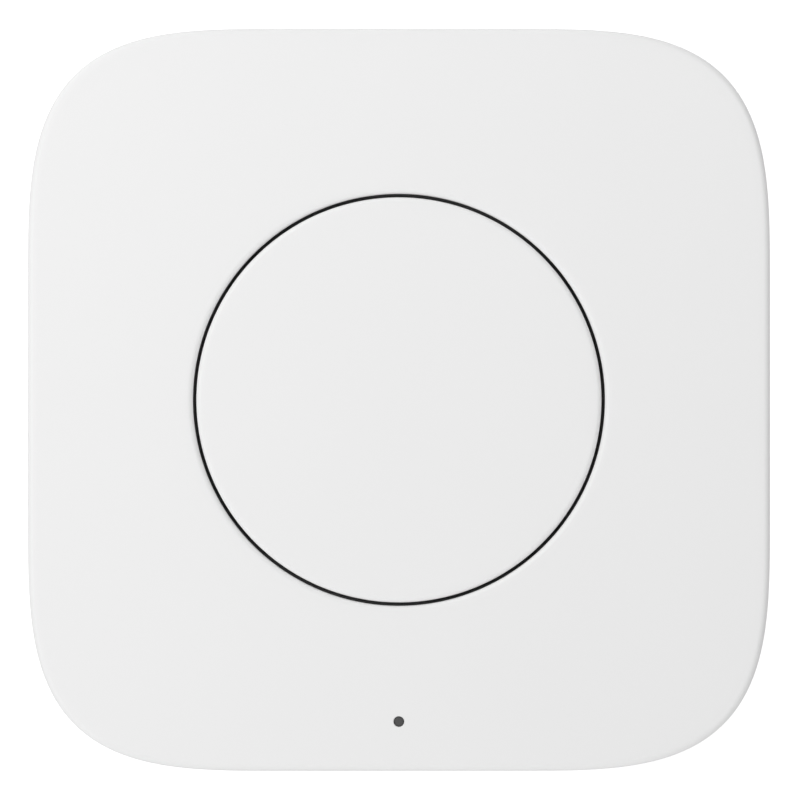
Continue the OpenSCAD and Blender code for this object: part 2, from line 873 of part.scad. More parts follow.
// Leaf spring under the board that presses on the cell's negative cap
module negative_contact() {
    base_z = board_z - strip_t;
    bend_x = leaf_base_l - leaf_l / 2;
    tip_x = leaf_l / 2;
    tip_z = touch_z + leaf_tip_rise;
    foot_x = tip_x - leaf_foot_l;
    leaf = [[-leaf_l / 2, board_z], [-leaf_l / 2, base_z], [bend_x - leaf_bend, base_z],
        [foot_x - leaf_bend, touch_z], [tip_x - leaf_tip_l, touch_z], [tip_x, tip_z],
        [tip_x, tip_z + strip_t], [tip_x - leaf_tip_l - leaf_bend, touch_z + strip_t],
        [foot_x, touch_z + strip_t], [bend_x, board_z]];
    color("khaki") {
        union() {
            for (side = [-1, 1])
                translate([0, side * leaf_pitch / 2, 0])
                    strip(leaf, leaf_w);
            block((bend_x - tip_x - leaf_base_inset) / 2, 0, leaf_base_l - 2 * leaf_base_inset, leaf_pitch,
                base_z, board_z);
        }
    }
}

// Positive can of the coin cell, crimped at its rim
module cell_can() {
    can_in_r = cell_r - cell_wall;
    profile = concat([[0, cell_z]],
        arc([cell_r - can_edge_r, cell_z + can_edge_r], can_edge_r, -90, 0, 3),
        arc([cell_r - can_rim_r, can_rim_z - can_rim_r], can_rim_r, 0, can_rim_angle, 4),
        [[cell_r - crimp_inset, can_rim_z - crimp_depth], [can_in_r, can_rim_z - crimp_end],
            [can_in_r, cell_z + cell_wall], [0, cell_z + cell_wall]]);
    color("silver")
        rotate_extrude()
            polygon(profile);
}

// Insulating ring between the can and the negative cap
module cell_gasket() {
    inner = negative_cap_r + seat_gap;
    outer = cell_r - cell_wall - seat_gap;
    rim_out = cell_r - crimp_end;
    profile = [[inner, cell_z + cell_wall], [outer, cell_z + cell_wall],
        [outer, can_rim_z - crimp_end - gasket_slope], [rim_out, can_rim_z - crimp_depth],
        [rim_out, can_rim_z], [inner, can_rim_z]];
    color("dimgray")
        rotate_extrude()
            polygon(profile);
}

// Negative cap of the coin cell
module cell_cap() {
    inner = negative_cap_r - cell_wall;
    low_z = cell_z + negative_cap_lift;
    round_r = negative_cap_edge_r;
    profile = concat([[inner, low_z], [negative_cap_r, low_z]],
        arc([negative_cap_r - round_r, cell_top_z - round_r], round_r, 0, 90, 4),
        [[0, cell_top_z], [0, cell_top_z - cell_wall], [inner, cell_top_z - cell_wall]]);
    color("silver")
        rotate_extrude()
            polygon(profile);
}

// Electrode stack inside the coin cell
module cell_core() {
    color("dimgray")
        ring(0, negative_cap_r - cell_wall - seat_gap, cell_z + cell_wall, cell_top_z - cell_wall);
}

front_housing();
button_cap();
cushion_ring();
light_pipe();
rear_housing();
battery_door();
door_seal();
adhesive_pad();
circuit_board();
board_screws();
switch_base();
switch_cover();
switch_dome();
switch_stem();
switch_terminals();
led_base();
led_lens();
radio_chip();
radio_crystal();
antenna_trace();
ceramic_capacitors();
chip_resistors();
reservoir_capacitor();
test_pads();
positive_contacts();
negative_contact();
cell_can();
cell_gasket();
cell_cap();
cell_core();
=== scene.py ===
# %% [markdown]
# # A wireless push button, dressed for the camera
# The real object is a white rounded-square button, 45 mm wide, with a flush round press cap and a
# tiny status light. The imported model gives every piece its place, so this lesson only builds the
# looks: clean meshes with real edge radii, materials named for what they are, light and a camera.

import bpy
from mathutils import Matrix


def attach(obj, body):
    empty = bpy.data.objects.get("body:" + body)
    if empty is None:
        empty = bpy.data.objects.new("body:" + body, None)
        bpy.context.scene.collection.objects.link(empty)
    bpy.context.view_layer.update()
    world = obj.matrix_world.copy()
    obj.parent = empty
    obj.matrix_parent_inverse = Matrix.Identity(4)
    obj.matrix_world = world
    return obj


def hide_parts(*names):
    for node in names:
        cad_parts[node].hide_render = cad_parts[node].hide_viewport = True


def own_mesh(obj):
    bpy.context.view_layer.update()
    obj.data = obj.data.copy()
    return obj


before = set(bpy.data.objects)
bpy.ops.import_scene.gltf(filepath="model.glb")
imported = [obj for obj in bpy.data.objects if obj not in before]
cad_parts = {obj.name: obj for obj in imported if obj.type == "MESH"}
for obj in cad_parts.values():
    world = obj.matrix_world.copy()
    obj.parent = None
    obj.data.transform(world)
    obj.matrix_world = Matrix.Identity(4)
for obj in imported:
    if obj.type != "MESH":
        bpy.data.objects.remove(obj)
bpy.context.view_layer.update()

# %% Modules and units
import math

import bmesh
import bpy
from mathutils import Matrix, Vector

MM = 0.001
scene = bpy.context.scene
scene.view_settings.view_transform = "Standard"
print("lengths below are in millimetres, and 1 mm is", MM, "m")


# %% [markdown]
# ## Colours and nodes
# A colour given in hex is an sRGB value, while Blender's sockets take linear light, so one
# function turns hex into linear. A second one adds a shader node with its settings and links.
# Everything in the materials below goes through these two, which keeps each material short enough
# to read.

# %% One function for colour, one for nodes
def linear(hex_colour):
    """An sRGB hex colour as the linear value that Blender's sockets take."""
    shares = [int(hex_colour[i:i + 2], 16) / 255 for i in (0, 2, 4)]
    light = [s / 12.92 if s <= 0.04045 else ((s + 0.055) / 1.055) ** 2.4 for s in shares]
    return (*light, 1.0)


def add_node(tree, kind, inputs=None, **settings):
    """Adds one node. An input is a plain value, or the socket that it is linked from."""
    made = tree.nodes.new(kind)
    for name, value in settings.items():
        setattr(made, name, value)
    for name, value in (inputs or {}).items():
        if isinstance(value, bpy.types.NodeSocket):
            tree.links.new(value, made.inputs[name])
        else:
            made.inputs[name].default_value = value
    return made


print("ABS white in linear light:", [round(c, 3) for c in linear("E9E9E9")])


# %% [markdown]
# ## What most finishes share
# Moulded, rolled and pressed surfaces all differ from plain paint in the same three ways: a fine
# relief that breaks up the highlight, a gloss that is not quite even, and a faint drift in colour.
# Each could be painted by hand, but noise gives all three and never repeats. So one function makes
# them from sizes in millimetres: the grain's width and depth, and the width of the drift.

# %% A finish with grain
NOISE_LOW, NOISE_HIGH = 0.3, 0.7  # most values of a noise lie between these


def finish_of(name, colour, second, roughness, drift_mm, grain_mm, depth_mm, ior=1.5, metallic=0.0,
              gloss=0.06, stretch=(1, 1, 1)):
    """A material with its grain: relief and gloss at grain_mm, colour drift at drift_mm."""
    material = bpy.data.materials.new(name)
    material.use_nodes = True
    tree = material.node_tree
    shader = tree.nodes["Principled BSDF"]
    shader.inputs["Base Color"].default_value = linear(colour)
    shader.inputs["Metallic"].default_value = metallic
    shader.inputs["IOR"].default_value = ior
    place = add_node(tree, "ShaderNodeTexCoord")
    scaled = add_node(tree, "ShaderNodeMapping", {
        "Vector": place.outputs["Object"], "Scale": stretch})
    grain = add_node(tree, "ShaderNodeTexNoise", {
        "Vector": scaled.outputs["Vector"], "Scale": 1 / (grain_mm * MM), "Detail": 2.0})
    bump = add_node(tree, "ShaderNodeBump", {
        "Height": grain.outputs["Fac"], "Distance": depth_mm * MM, "Strength": 1.0})
    tree.links.new(bump.outputs["Normal"], shader.inputs["Normal"])
    sheen = add_node(tree, "ShaderNodeMapRange", {
        "Value": grain.outputs["Fac"], "From Min": NOISE_LOW, "From Max": NOISE_HIGH,
        "To Min": roughness - gloss, "To Max": roughness + gloss})
    tree.links.new(sheen.outputs["Result"], shader.inputs["Roughness"])
    drift = add_node(tree, "ShaderNodeTexNoise", {
        "Vector": place.outputs["Object"], "Scale": 1 / (drift_mm * MM), "Detail": 1.0})
    tint = add_node(tree, "ShaderNodeMix", {
        0: drift.outputs["Fac"], 6: linear(colour), 7: linear(second)}, data_type="RGBA")
    tree.links.new(tint.outputs[2], shader.inputs["Base Color"])
    return material


def report_made(*materials):
    print("made", ", ".join(material.name for material in materials))


print("grain and drift are noise, taken from", NOISE_LOW, "to", NOISE_HIGH)

# %% [markdown]
# ## The white shell: moulded ABS
# ABS is the usual plastic for small white cases. Its mould is spark-eroded, which leaves a matt
# skin of pits about a twentieth of a millimetre across. A catalogue photo shows hardly any of it,
# so the relief here is very shallow, and drawn a little coarser than life so that it still shows in
# close views.

# %% Moulded ABS
# Matt and even: no clear reflection, only a soft spread of light over the face.
moulded_abs = finish_of("moulded_abs_white", "E9E9E9", "EAEAEA", 0.68, ior=1.53, drift_mm=9.0,
                        grain_mm=0.12, depth_mm=0.0012, gloss=0.05)
report_made(moulded_abs)

# %% [markdown]
# ## Rubber, foam and the smoked light pipe
# The ring under the cap is dark grey silicone. Little light reaches it, which is what makes the
# joint line so dark. The door seal is nitrile and the tape is acrylic foam with closed cells around
# 0.2 mm. The light pipe is smoked polycarbonate. It could be made see-through, but with the light
# off there is nothing behind it to see, so a dark body with a small clear highlight does the same.

# %% Soft and clear finishes
# Silicone takes light in and gives little back: an even, dull grey.
silicone_rubber = finish_of("silicone_rubber_grey", "585858", "5E5E5E", 0.62, ior=1.41,
                            drift_mm=2.0, grain_mm=0.05, depth_mm=0.002)
# Nitrile is darker and harder, and shines a little along its round cord.
nitrile_rubber = finish_of("nitrile_rubber_grey", "2B2B2C", "333334", 0.5, ior=1.52,
                           drift_mm=2.0, grain_mm=0.06, depth_mm=0.002)
# Cut foam is pale and dull, with cells that make its edge look grainy.
acrylic_foam = finish_of("acrylic_foam_tape", "DDDDDA", "D2D2CE", 0.85, ior=1.47,
                         drift_mm=0.5, grain_mm=0.2, depth_mm=0.03)
# The polished tip is smooth: a dark dot with a hint of shine.
smoked_polycarbonate = finish_of("smoked_polycarbonate", "363636", "3A3A3A", 0.3, ior=1.585,
                                 drift_mm=0.4, grain_mm=0.05, depth_mm=0.0005, gloss=0.04)
report_made(silicone_rubber, nitrile_rubber, acrylic_foam, smoked_polycarbonate)

# %% [markdown]
# ## Metals inside the case
# Metals keep Blender's default IOR and take their colour from the base colour. Rolled strip shows
# fine lines along the rolling direction, which is the same grain stretched one way. Real lines are
# finer than a hundredth of a millimetre, so they are drawn about five times as wide to show at all.

# %% Metal finishes
# Bare rolled sheet: a satin grey whose lines draw the highlights out along X.
stainless_steel = finish_of("rolled_stainless_steel", "C9C8C4", "BEBDB9", 0.32, metallic=1.0,
                            drift_mm=1.5, grain_mm=0.04, depth_mm=0.0006, stretch=(0.06, 1, 1))
# Nickel over strip: warmer and brighter than the bare sheet, with the same lines.
nickel_strip = finish_of("nickel_plated_spring_strip", "D9D4C4", "CFC9B8", 0.26, metallic=1.0,
                         drift_mm=1.0, grain_mm=0.05, depth_mm=0.0005, stretch=(0.1, 1, 1))
# Nickel over a drawn can: the brightest metal here, with faint lines along Y.
cell_steel = finish_of("nickel_plated_cell_steel", "D2D2D0", "C6C6C4", 0.24, metallic=1.0,
                       drift_mm=3.0, grain_mm=0.06, depth_mm=0.0006, stretch=(1, 0.15, 1))
# A thin gold coat on copper: yellow in the light, brownish in the shade.
gold_flash = finish_of("gold_flash_on_copper", "E9C983", "DDB868", 0.3, metallic=1.0,
                       drift_mm=0.8, grain_mm=0.05, depth_mm=0.0006)
# Melted tin: a soft grey shine over a slightly wavy skin.
tin_plate = finish_of("bright_tin_plate", "DEDEDC", "D2D2D0", 0.35, metallic=1.0,
                      drift_mm=0.4, grain_mm=0.05, depth_mm=0.0015)
report_made(stainless_steel, nickel_strip, cell_steel, gold_flash, tin_plate)

# %% [markdown]
# ## Resins and ceramics on the board
# Most small parts on a board are moulded or fired, so they differ in colour and shine more than in
# shape. Chip packages are black epoxy, chip capacitors are barium titanate, and the reservoir
# capacitor is amber epoxy with a band printed at its positive end. The light emitter has a white
# reflector and a lens of pale resin.

# %% Component finishes
# Moulded epoxy: a dark grey that never gets quite black, with no clear highlight.
black_epoxy = finish_of("moulded_black_epoxy", "26262A", "2E2E31", 0.6, ior=1.55,
                        drift_mm=1.5, grain_mm=0.06, depth_mm=0.003)
# Fired ceramic: a dense tan brick with a faint waxy shine.
titanate = finish_of("fired_barium_titanate", "A98560", "9C7752", 0.5, ior=2.2,
                     drift_mm=0.5, grain_mm=0.05, depth_mm=0.001)
# Coloured epoxy from a smooth mould: an even amber with soft highlights.
tantalum_mould = finish_of("moulded_tantalum_case", "D9A33C", "CF962F", 0.5, ior=1.55,
                           drift_mm=0.8, grain_mm=0.06, depth_mm=0.002)
# Ink on that case: a duller brown over the same skin.
printed_band = finish_of("printed_brown_band", "6E4420", "653D1B", 0.55,
                         drift_mm=0.5, grain_mm=0.06, depth_mm=0.002)
# Reflector white: brighter and smoother than the shell, so that the emitter stands out.
emitter_white = finish_of("moulded_reflector_white", "F0F0EC", "EAEAE4", 0.45,
                          drift_mm=0.5, grain_mm=0.05, depth_mm=0.001)
# Poured resin: pale yellow, with a small highlight that looks wet.
emitter_resin = finish_of("pale_silicone_resin", "EFE6B4", "EADF9F", 0.2,
                          drift_mm=0.4, grain_mm=0.08, depth_mm=0.0005)
report_made(black_epoxy, titanate, tantalum_mould, printed_band, emitter_white, emitter_resin)

# %% [markdown]
# ## The dark parts of the coin cell
# A coin cell is a steel can and a steel cap with a plastic ring between them, and pressed powder
# inside. The ring shows as a thin line round the cap, and the powder only when the cell is opened.

# %% Cell finishes
# Waxy plastic: a mid grey with a soft, broad highlight.
polypropylene = finish_of("moulded_polypropylene_grey", "6E7072", "676A6C", 0.5, ior=1.49,
                          drift_mm=1.0, grain_mm=0.06, depth_mm=0.001)
# Pressed powder: nearly black and quite dull.
electrode = finish_of("pressed_electrode_powder", "2A2A2C", "343436", 0.85,
                      drift_mm=0.6, grain_mm=0.04, depth_mm=0.004)
report_made(polypropylene, electrode)

# %% [markdown]
# ## The circuit board: glass laminate under green solder mask
# A board is woven glass in resin with copper on it, under a coat of green lacquer. The weave shows
# as faint checks, the strip below the antenna has no copper and looks duller, and the sawn edge is
# bare and yellowish. They could be three materials, but then their borders would have to follow
# faces. Here all three go over the lacquer's colour: a checker half a millimetre wide, a limit on Y
# for the strip, and the surface direction for the edge, because an edge faces sideways.

# %% Solder mask with weave, bare strip and sawn edge
# Lacquer on laminate: a deep green with a satin shine, slightly wavy over the weave.
solder_mask = finish_of("solder_mask_on_glass_laminate", "1F5A3A", "1B5235", 0.35, ior=1.52,
                        drift_mm=5.0, grain_mm=0.3, depth_mm=0.002)
# Lacquer on copper: lighter, because the metal below it sends light back.
masked_copper = finish_of("solder_mask_on_copper", "2F7A50", "2B744B", 0.33, ior=1.52,
                          drift_mm=3.0, grain_mm=0.3, depth_mm=0.002)
SIDEWAYS = 0.5  # a surface whose direction has less of Z than this is an edge


def show_laminate(material, weave_mm, weave_share, bare_y, bare_colour, edge_colour):
    """Adds what shows of the laminate: its weave, the strip without copper and the sawn edge."""
    tree = material.node_tree
    shader = tree.nodes["Principled BSDF"]
    mask = shader.inputs["Base Color"].links[0].from_socket
    place = add_node(tree, "ShaderNodeTexCoord")
    spot = add_node(tree, "ShaderNodeSeparateXYZ", {"Vector": place.outputs["Object"]})
    bare = add_node(tree, "ShaderNodeMath", {0: spot.outputs["Y"], 1: bare_y * MM},
                    operation="GREATER_THAN")
    checks = add_node(tree, "ShaderNodeTexChecker", {
        "Vector": place.outputs["Object"], "Scale": 1 / (weave_mm * MM)})
    weave = add_node(tree, "ShaderNodeMath", {0: checks.outputs["Fac"], 1: weave_share},
                     operation="MULTIPLY")
    shown = add_node(tree, "ShaderNodeMath", {0: bare.outputs[0], 1: weave.outputs[0]},
                     operation="MAXIMUM")
    over = add_node(tree, "ShaderNodeMix", {
        0: shown.outputs[0], 6: mask, 7: linear(bare_colour)}, data_type="RGBA")
    facing = add_node(tree, "ShaderNodeSeparateXYZ", {"Vector": place.outputs["Normal"]})
    level = add_node(tree, "ShaderNodeMath", {0: facing.outputs["Z"]}, operation="ABSOLUTE")
    sawn = add_node(tree, "ShaderNodeMath", {0: level.outputs[0], 1: SIDEWAYS},
                    operation="LESS_THAN")
    edged = add_node(tree, "ShaderNodeMix", {
        0: sawn.outputs[0], 6: over.outputs[2], 7: linear(edge_colour)}, data_type="RGBA")
    tree.links.new(edged.outputs[2], shader.inputs["Base Color"])


show_laminate(solder_mask, weave_mm=0.5, weave_share=0.35, bare_y=15.9,
              bare_colour="2A4A2E", edge_colour="C9B878")
report_made(solder_mask, masked_copper)

# %% [markdown]
# ## The outline everything follows
# Seen from the front, the body is not a square with round corners: each corner eases in slowly and
# turns tightest in the middle. That is a superellipse corner between short straight sides. One list
# of points and outward directions serves every ring of the shell, because an inner ring is the same
# list moved inwards. The points sit at even angles about the middle, so that a round ring can be
# joined to a square one point by point.

# %% Outline points at even angles
HALF_W = 22.5
CORNER_L, CORNER_POWER = 15.6, 3.48
STRAIGHT = HALF_W - CORNER_L
RING_POINTS = 360
HALVINGS = 50  # enough to find a point on the corner to the last digit
TINY = 1e-9  # smaller than any real size or angle
RIGHT_ANGLE = math.pi / 2


def corner_spot(angle):
    """Point and outward direction of the outline at an angle from 0 to 90 degrees."""
    flat = math.atan2(STRAIGHT, HALF_W)
    if angle <= flat:
        return HALF_W, HALF_W * math.tan(angle), 1.0, 0.0
    if angle >= RIGHT_ANGLE - flat:
        return HALF_W / math.tan(angle), HALF_W, 0.0, 1.0
    power = 2 / CORNER_POWER
    low, high = 0.0, RIGHT_ANGLE
    for _ in range(HALVINGS):
        turn = (low + high) / 2
        x = STRAIGHT + CORNER_L * math.cos(turn) ** power
        y = STRAIGHT + CORNER_L * math.sin(turn) ** power
        if math.atan2(y, x) < angle:
            low = turn
        else:
            high = turn
    out = Vector((math.cos(turn) ** (2 - power), math.sin(turn) ** (2 - power))).normalized()
    return x, y, out.x, out.y


RING_ANGLES = [2 * math.pi * i / RING_POINTS for i in range(RING_POINTS)]
RIM = []
for ring_angle in RING_ANGLES:
    quarter = int(ring_angle / RIGHT_ANGLE + TINY)
    x, y, nx, ny = corner_spot(max(ring_angle - quarter * RIGHT_ANGLE, 0.0))
    for _ in range(quarter):
        x, y, nx, ny = -y, x, -ny, nx
    RIM.append((x, y, nx, ny))
print("outline point at 45 degrees:", [round(v, 2) for v in RIM[RING_POINTS // 8][:2]])


# %% [markdown]
# ## Rings
# A shell moulded in one piece can be drawn as one closed chain of rings: up the inside, over the
# front, down the outside and back. A ring follows the body's outline, a circle, or something
# between the two. A profile of insets or radii and heights gives a run of rings, and arcs in the
# profile become the rounded edges.

# %% Rings and runs of rings
def outline(inset):
    return [(x - inset * nx, y - inset * ny) for x, y, nx, ny in RIM]


def circle(radius):
    return [(radius * math.cos(a), radius * math.sin(a)) for a in RING_ANGLES]


def bend(across, up, radius, start, stop, steps=8):
    """Points of an arc in a profile, with angles in degrees."""
    turns = [math.radians(start + (stop - start) * i / steps) for i in range(steps + 1)]
    return [(across + radius * math.cos(t), up + radius * math.sin(t)) for t in turns]


def body_rings(profile):
    """Rings that follow the body, from a profile of insets and heights."""
    return [(outline(inset), z) for inset, z in profile]


def round_rings(profile):
    """Round rings, from a profile of radii and heights."""
    return [(circle(radius), z) for radius, z in profile]


def flat_rings(start, stop, z, shares):
    """Rings on one level, at shares of the way from one ring to another."""
    return [([(a[0] + (b[0] - a[0]) * share, a[1] + (b[1] - a[1]) * share)
              for a, b in zip(start, stop)], z) for share in shares]


print("a ring has", len(circle(1.0)), "points, a quarter bend", len(bend(0, 0, 1, 0, 90)))


# %% [markdown]
# ## From rings to a mesh
# Joining section to section gives tidy four-sided faces with no holes. A chain of rings closes on
# itself, and a chain along a straight part is capped at both ends. Points are written in
# millimetres and stored in metres. Doubled points are merged and every face is turned outwards,
# because shading and booleans both need to know which side is out.

# %% Chains of sections
def chain(sections, closed=False):
    """Sections with equal counts of points joined in order, capped at the ends unless closed."""
    count = len(sections[0])
    points = [spot for section in sections for spot in section]
    faces = []
    for k in range(len(sections) if closed else len(sections) - 1):
        here, there = k * count, (k + 1) % len(sections) * count
        faces += [(here + i, here + (i + 1) % count, there + (i + 1) % count, there + i)
                  for i in range(count)]
    if not closed:
        faces += [tuple(range(count)), tuple(range(len(points) - count, len(points)))]
    return points, faces


def loft(rings):
    """A closed chain of level rings, each given as its points and its height."""
    return chain([[(x, y, z) for x, y in ring] for ring, z in rings], closed=True)


print("a chain of three rings has", len(loft([(circle(1.0), z) for z in range(3)])[1]), "faces")

# %% Points and faces to an object
MERGE_M = 1e-8  # points closer than this are one


def tidy_mesh(piece):
    """Merges doubled points and turns every face outwards."""
    work = bmesh.new()
    work.from_mesh(piece.data)
    bmesh.ops.remove_doubles(work, verts=work.verts, dist=MERGE_M)
    bmesh.ops.recalc_face_normals(work, faces=work.faces)
    work.to_mesh(piece.data)
    work.free()


def mesh_object(name, shape):
    points, faces = shape
    mesh = bpy.data.meshes.new(name)
    mesh.from_pydata([[c * MM for c in p] for p in points], [], faces)
    made = bpy.data.objects.new(name, mesh)
    scene.collection.objects.link(made)
    tidy_mesh(made)
    return made


print("points closer than", MERGE_M, "m are merged")

# %% [markdown]
# ## Front housing
# The front shell is what the photo shows: a flat face with a round opening, a small radius at the
# outer edge and a smaller one at the opening. It could be cut from a block, but a chain of rings
# gives even faces along both radii, so the highlights stay clean. The rings run up the opening,
# over the face, down the side, under the rim, up the inside wall and round the cap's guide ring.

# %% Front housing: the shell
FACE_Z, PLATE_Z = 12.8, 11.2
FACE_EDGE_R = 0.4
OPENING_R, OPENING_EDGE_R, OPENING_MID_Z = 12.49, 0.35, 11.9
WALL, WALL_INNER_R = 1.5, 0.2
RIM_Z, RIM_EDGE_R = 4.25, 0.12
GUIDE_IN_R, GUIDE_OUT_R, GUIDE_Z, GUIDE_CHAMFER = 13.83, 14.93, 9.3, 0.1
FACE_SHARES = (0.03, 0.25, 0.5, 0.75, 0.97)
SIDE_LEVELS, INSIDE_LEVELS = (12.0, 9.5, 7.0, 4.8), (6.5, 9.0)

lip_of_opening = OPENING_R + OPENING_EDGE_R
corner_inset = WALL + WALL_INNER_R
front_rings = round_rings([(OPENING_R, PLATE_Z), (OPENING_R, OPENING_MID_Z)])
front_rings += round_rings(
    bend(lip_of_opening, FACE_Z - OPENING_EDGE_R, OPENING_EDGE_R, 180, 90))
front_rings += flat_rings(circle(lip_of_opening), outline(FACE_EDGE_R), FACE_Z, FACE_SHARES)
front_rings += body_rings(bend(FACE_EDGE_R, FACE_Z - FACE_EDGE_R, FACE_EDGE_R, 90, 180))
front_rings += body_rings([(0, z) for z in SIDE_LEVELS])
front_rings += body_rings(bend(RIM_EDGE_R, RIM_Z + RIM_EDGE_R, RIM_EDGE_R, 180, 270, 4))
front_rings += body_rings(bend(WALL - RIM_EDGE_R, RIM_Z + RIM_EDGE_R, RIM_EDGE_R, 270, 360, 4))
front_rings += body_rings([(WALL, z) for z in INSIDE_LEVELS])
front_rings += body_rings(bend(corner_inset, PLATE_Z - WALL_INNER_R, WALL_INNER_R, 180, 90, 4))
front_rings += flat_rings(outline(corner_inset), circle(GUIDE_OUT_R), PLATE_Z, [0.5])
front_rings += round_rings([
    (GUIDE_OUT_R, PLATE_Z), (GUIDE_OUT_R, GUIDE_Z + GUIDE_CHAMFER),
    (GUIDE_OUT_R - GUIDE_CHAMFER, GUIDE_Z), (GUIDE_IN_R + GUIDE_CHAMFER, GUIDE_Z),
    (GUIDE_IN_R, GUIDE_Z + GUIDE_CHAMFER), (GUIDE_IN_R, PLATE_Z)])
front = mesh_object("front_shell", loft(front_rings))
print("front shell:", len(front_rings), "rings,", len(front.data.polygons), "faces")


# %% [markdown]
# ## Turned and pushed shapes
# Bosses and posts are round, and hooks and catches are flat shapes with a thickness. Blender has
# ready cylinders and cubes, but a turned profile or a pushed outline brings its chamfers along, and
# each can be written as one list of sizes.

# %% Turned shapes
def turned(profile, steps=120, x=0.0, y=0.0):
    """A closed profile of radii and heights, turned about an upright axis."""
    points, faces, spots = [], [], []
    for radius, z in profile:
        count = steps if radius > TINY else 1
        spots.append([len(points) + i for i in range(count)])
        for i in range(count):
            a = 2 * math.pi * i / steps
            points.append((x + radius * math.cos(a), y + radius * math.sin(a), z))
    for k in range(len(profile)):
        here, there = spots[k], spots[(k + 1) % len(profile)]
        if len(here) == 1 and len(there) == 1:
            continue
        for i in range(steps):
            corners = [here[i % len(here)], here[(i + 1) % len(here)],
                       there[(i + 1) % len(there)], there[i % len(there)]]
            faces.append(tuple(dict.fromkeys(corners)))
    return points, faces


def post(radius, low, high, chamfer):
    """Profile of a round post with its lower edge broken."""
    return [(0, low), (radius - chamfer, low), (radius, low + chamfer), (radius, high), (0, high)]


print("a turned post has", len(turned(post(1.0, 0.0, 2.0, 0.1))[1]), "faces")


# %% Pushed shapes
AROUND = ((-1, -1), (1, -1), (1, 1), (-1, 1))  # the corners of a rectangle, in order


def upright(u, v, w):
    """A flat shape lies level and is pushed upwards."""
    return u, v, w


def along_y(u, v, w):
    """A flat shape stands upright along X and is pushed along Y."""
    return u, w, v


def prism(flat, low, high, place=upright):
    """A flat shape pushed from low to high, with each point put in space by place."""
    count = len(flat)
    points = [place(u, v, w) for w in (low, high) for u, v in flat]
    faces = [tuple(range(count)), tuple(range(2 * count - 1, count - 1, -1))]
    faces += [(i, i + count, (i + 1) % count + count, (i + 1) % count) for i in range(count)]
    return points, faces


def together(*shapes):
    """Several separate shapes as one list of points and faces."""
    points, faces = [], []
    for more_points, more_faces in shapes:
        faces += [tuple(i + len(points) for i in face) for face in more_faces]
        points += more_points
    return points, faces


print("a pushed ring outline has", len(prism(circle(1.0), 0.0, 1.0)[1]), "faces")

# %% [markdown]
# ## Joining and cutting
# Details are joined to a shell, or cut from it, with exact booleans. The result is taken over at
# once and the tool is deleted, so that each piece ends as one closed mesh. A tool always reaches
# past the face that it meets, because two faces in one place confuse a boolean.

# %% Join or cut a shape
OVER = 1.0  # reach of a cut past the face that it opens


def carve(piece, shape, operation):
    """Joins a shape to a piece with UNION, or cuts it out with DIFFERENCE."""
    tool = mesh_object(piece.name + "_tool", shape)
    cut = piece.modifiers.new("carve", "BOOLEAN")
    cut.object, cut.operation, cut.solver = tool, operation, "EXACT"
    ready = piece.evaluated_get(bpy.context.evaluated_depsgraph_get())
    old, piece.data = piece.data, bpy.data.meshes.new_from_object(ready)
    piece.modifiers.clear()
    for used in (old, tool.data):
        bpy.data.meshes.remove(used)
    tidy_mesh(piece)


print("cuts reach", OVER, "mm past the face that they open")

# %% [markdown]
# Inside, the front moulding carries four screw bosses, the tube that holds the light pipe and the
# catches for the snap hooks. All of them reach a little into the plate or wall, so that the boolean
# joins solid to solid and not face to face.

# %% Front housing: bosses, tube and catches
BOARD_LOW, BOARD_TOP = 5.8, 6.8
BOSS_R, BOSS_TOP, BOSS_CHAMFER = 2.1, PLATE_Z + 0.3, 0.1
PILOT_R, PILOT_TOP, PILOT_FLARE = 0.67, 10.1, 0.15
FOUR_WAYS = [(sx, sy) for sx in (-1, 1) for sy in (-1, 1)]
SCREW_OUT = 14.6
SCREW_AT = [(sx * SCREW_OUT, sy * SCREW_OUT) for sx, sy in FOUR_WAYS]
LIGHT_Y = -19.5
TUBE_R, TUBE_LOW = 1.82, 8.42
HOOK_Y = 8.0
CATCH_X, CATCH_ROOT_X, CATCH_LOW, CATCH_TOP, CATCH_HALF_W = 20.45, 21.3, 5.7, 6.45, 2.6
CATCH_CHAMFER = 0.1


def at_hooks(profile, half_width):
    """A profile of X and Z at each of the four hooks, pushed along Y by half its width each way."""
    return together(*(
        prism([(side * u, v) for u, v in profile], y - half_width, y + half_width, along_y)
        for side in (-1, 1) for y in (-HOOK_Y, HOOK_Y)))


boss = [(0, PILOT_TOP), (PILOT_R, PILOT_TOP), (PILOT_R, BOARD_TOP + PILOT_FLARE),
        (PILOT_R + PILOT_FLARE, BOARD_TOP)] + post(BOSS_R, BOARD_TOP, BOSS_TOP, BOSS_CHAMFER)[1:]
catch = [(CATCH_X, CATCH_LOW + CATCH_CHAMFER), (CATCH_X + CATCH_CHAMFER, CATCH_LOW),
         (CATCH_ROOT_X, CATCH_LOW), (CATCH_ROOT_X, CATCH_TOP), (CATCH_X, CATCH_TOP)]
carve(front, together(*(turned(boss, 48, x, y) for x, y in SCREW_AT),
                      turned(post(TUBE_R, TUBE_LOW, BOSS_TOP, BOSS_CHAMFER), 48, 0, LIGHT_Y),
                      at_hooks(catch, CATCH_HALF_W)), "UNION")
print("front shell with bosses, tube and catches:", len(front.data.polygons), "faces")

# %% [markdown]
# ## Dressing a piece
# Each finished mesh gets its materials, its shading and its place on the body that it rides on,
# and the imported node that it stands for is hidden. Smooth shading alone would make flat faces look
# swollen beside a fillet. Crisp edges and normals weighted by face size keep them flat, with far
# fewer faces than a subdivided mesh needs.

# %% Materials, shading and place
CRISP_ANGLE = 35  # degrees, above which an edge stays crisp


def open_edge_count(piece):
    work = bmesh.new()
    work.from_mesh(piece.data)
    count = sum(not edge.is_manifold for edge in work.edges)
    work.free()
    return count


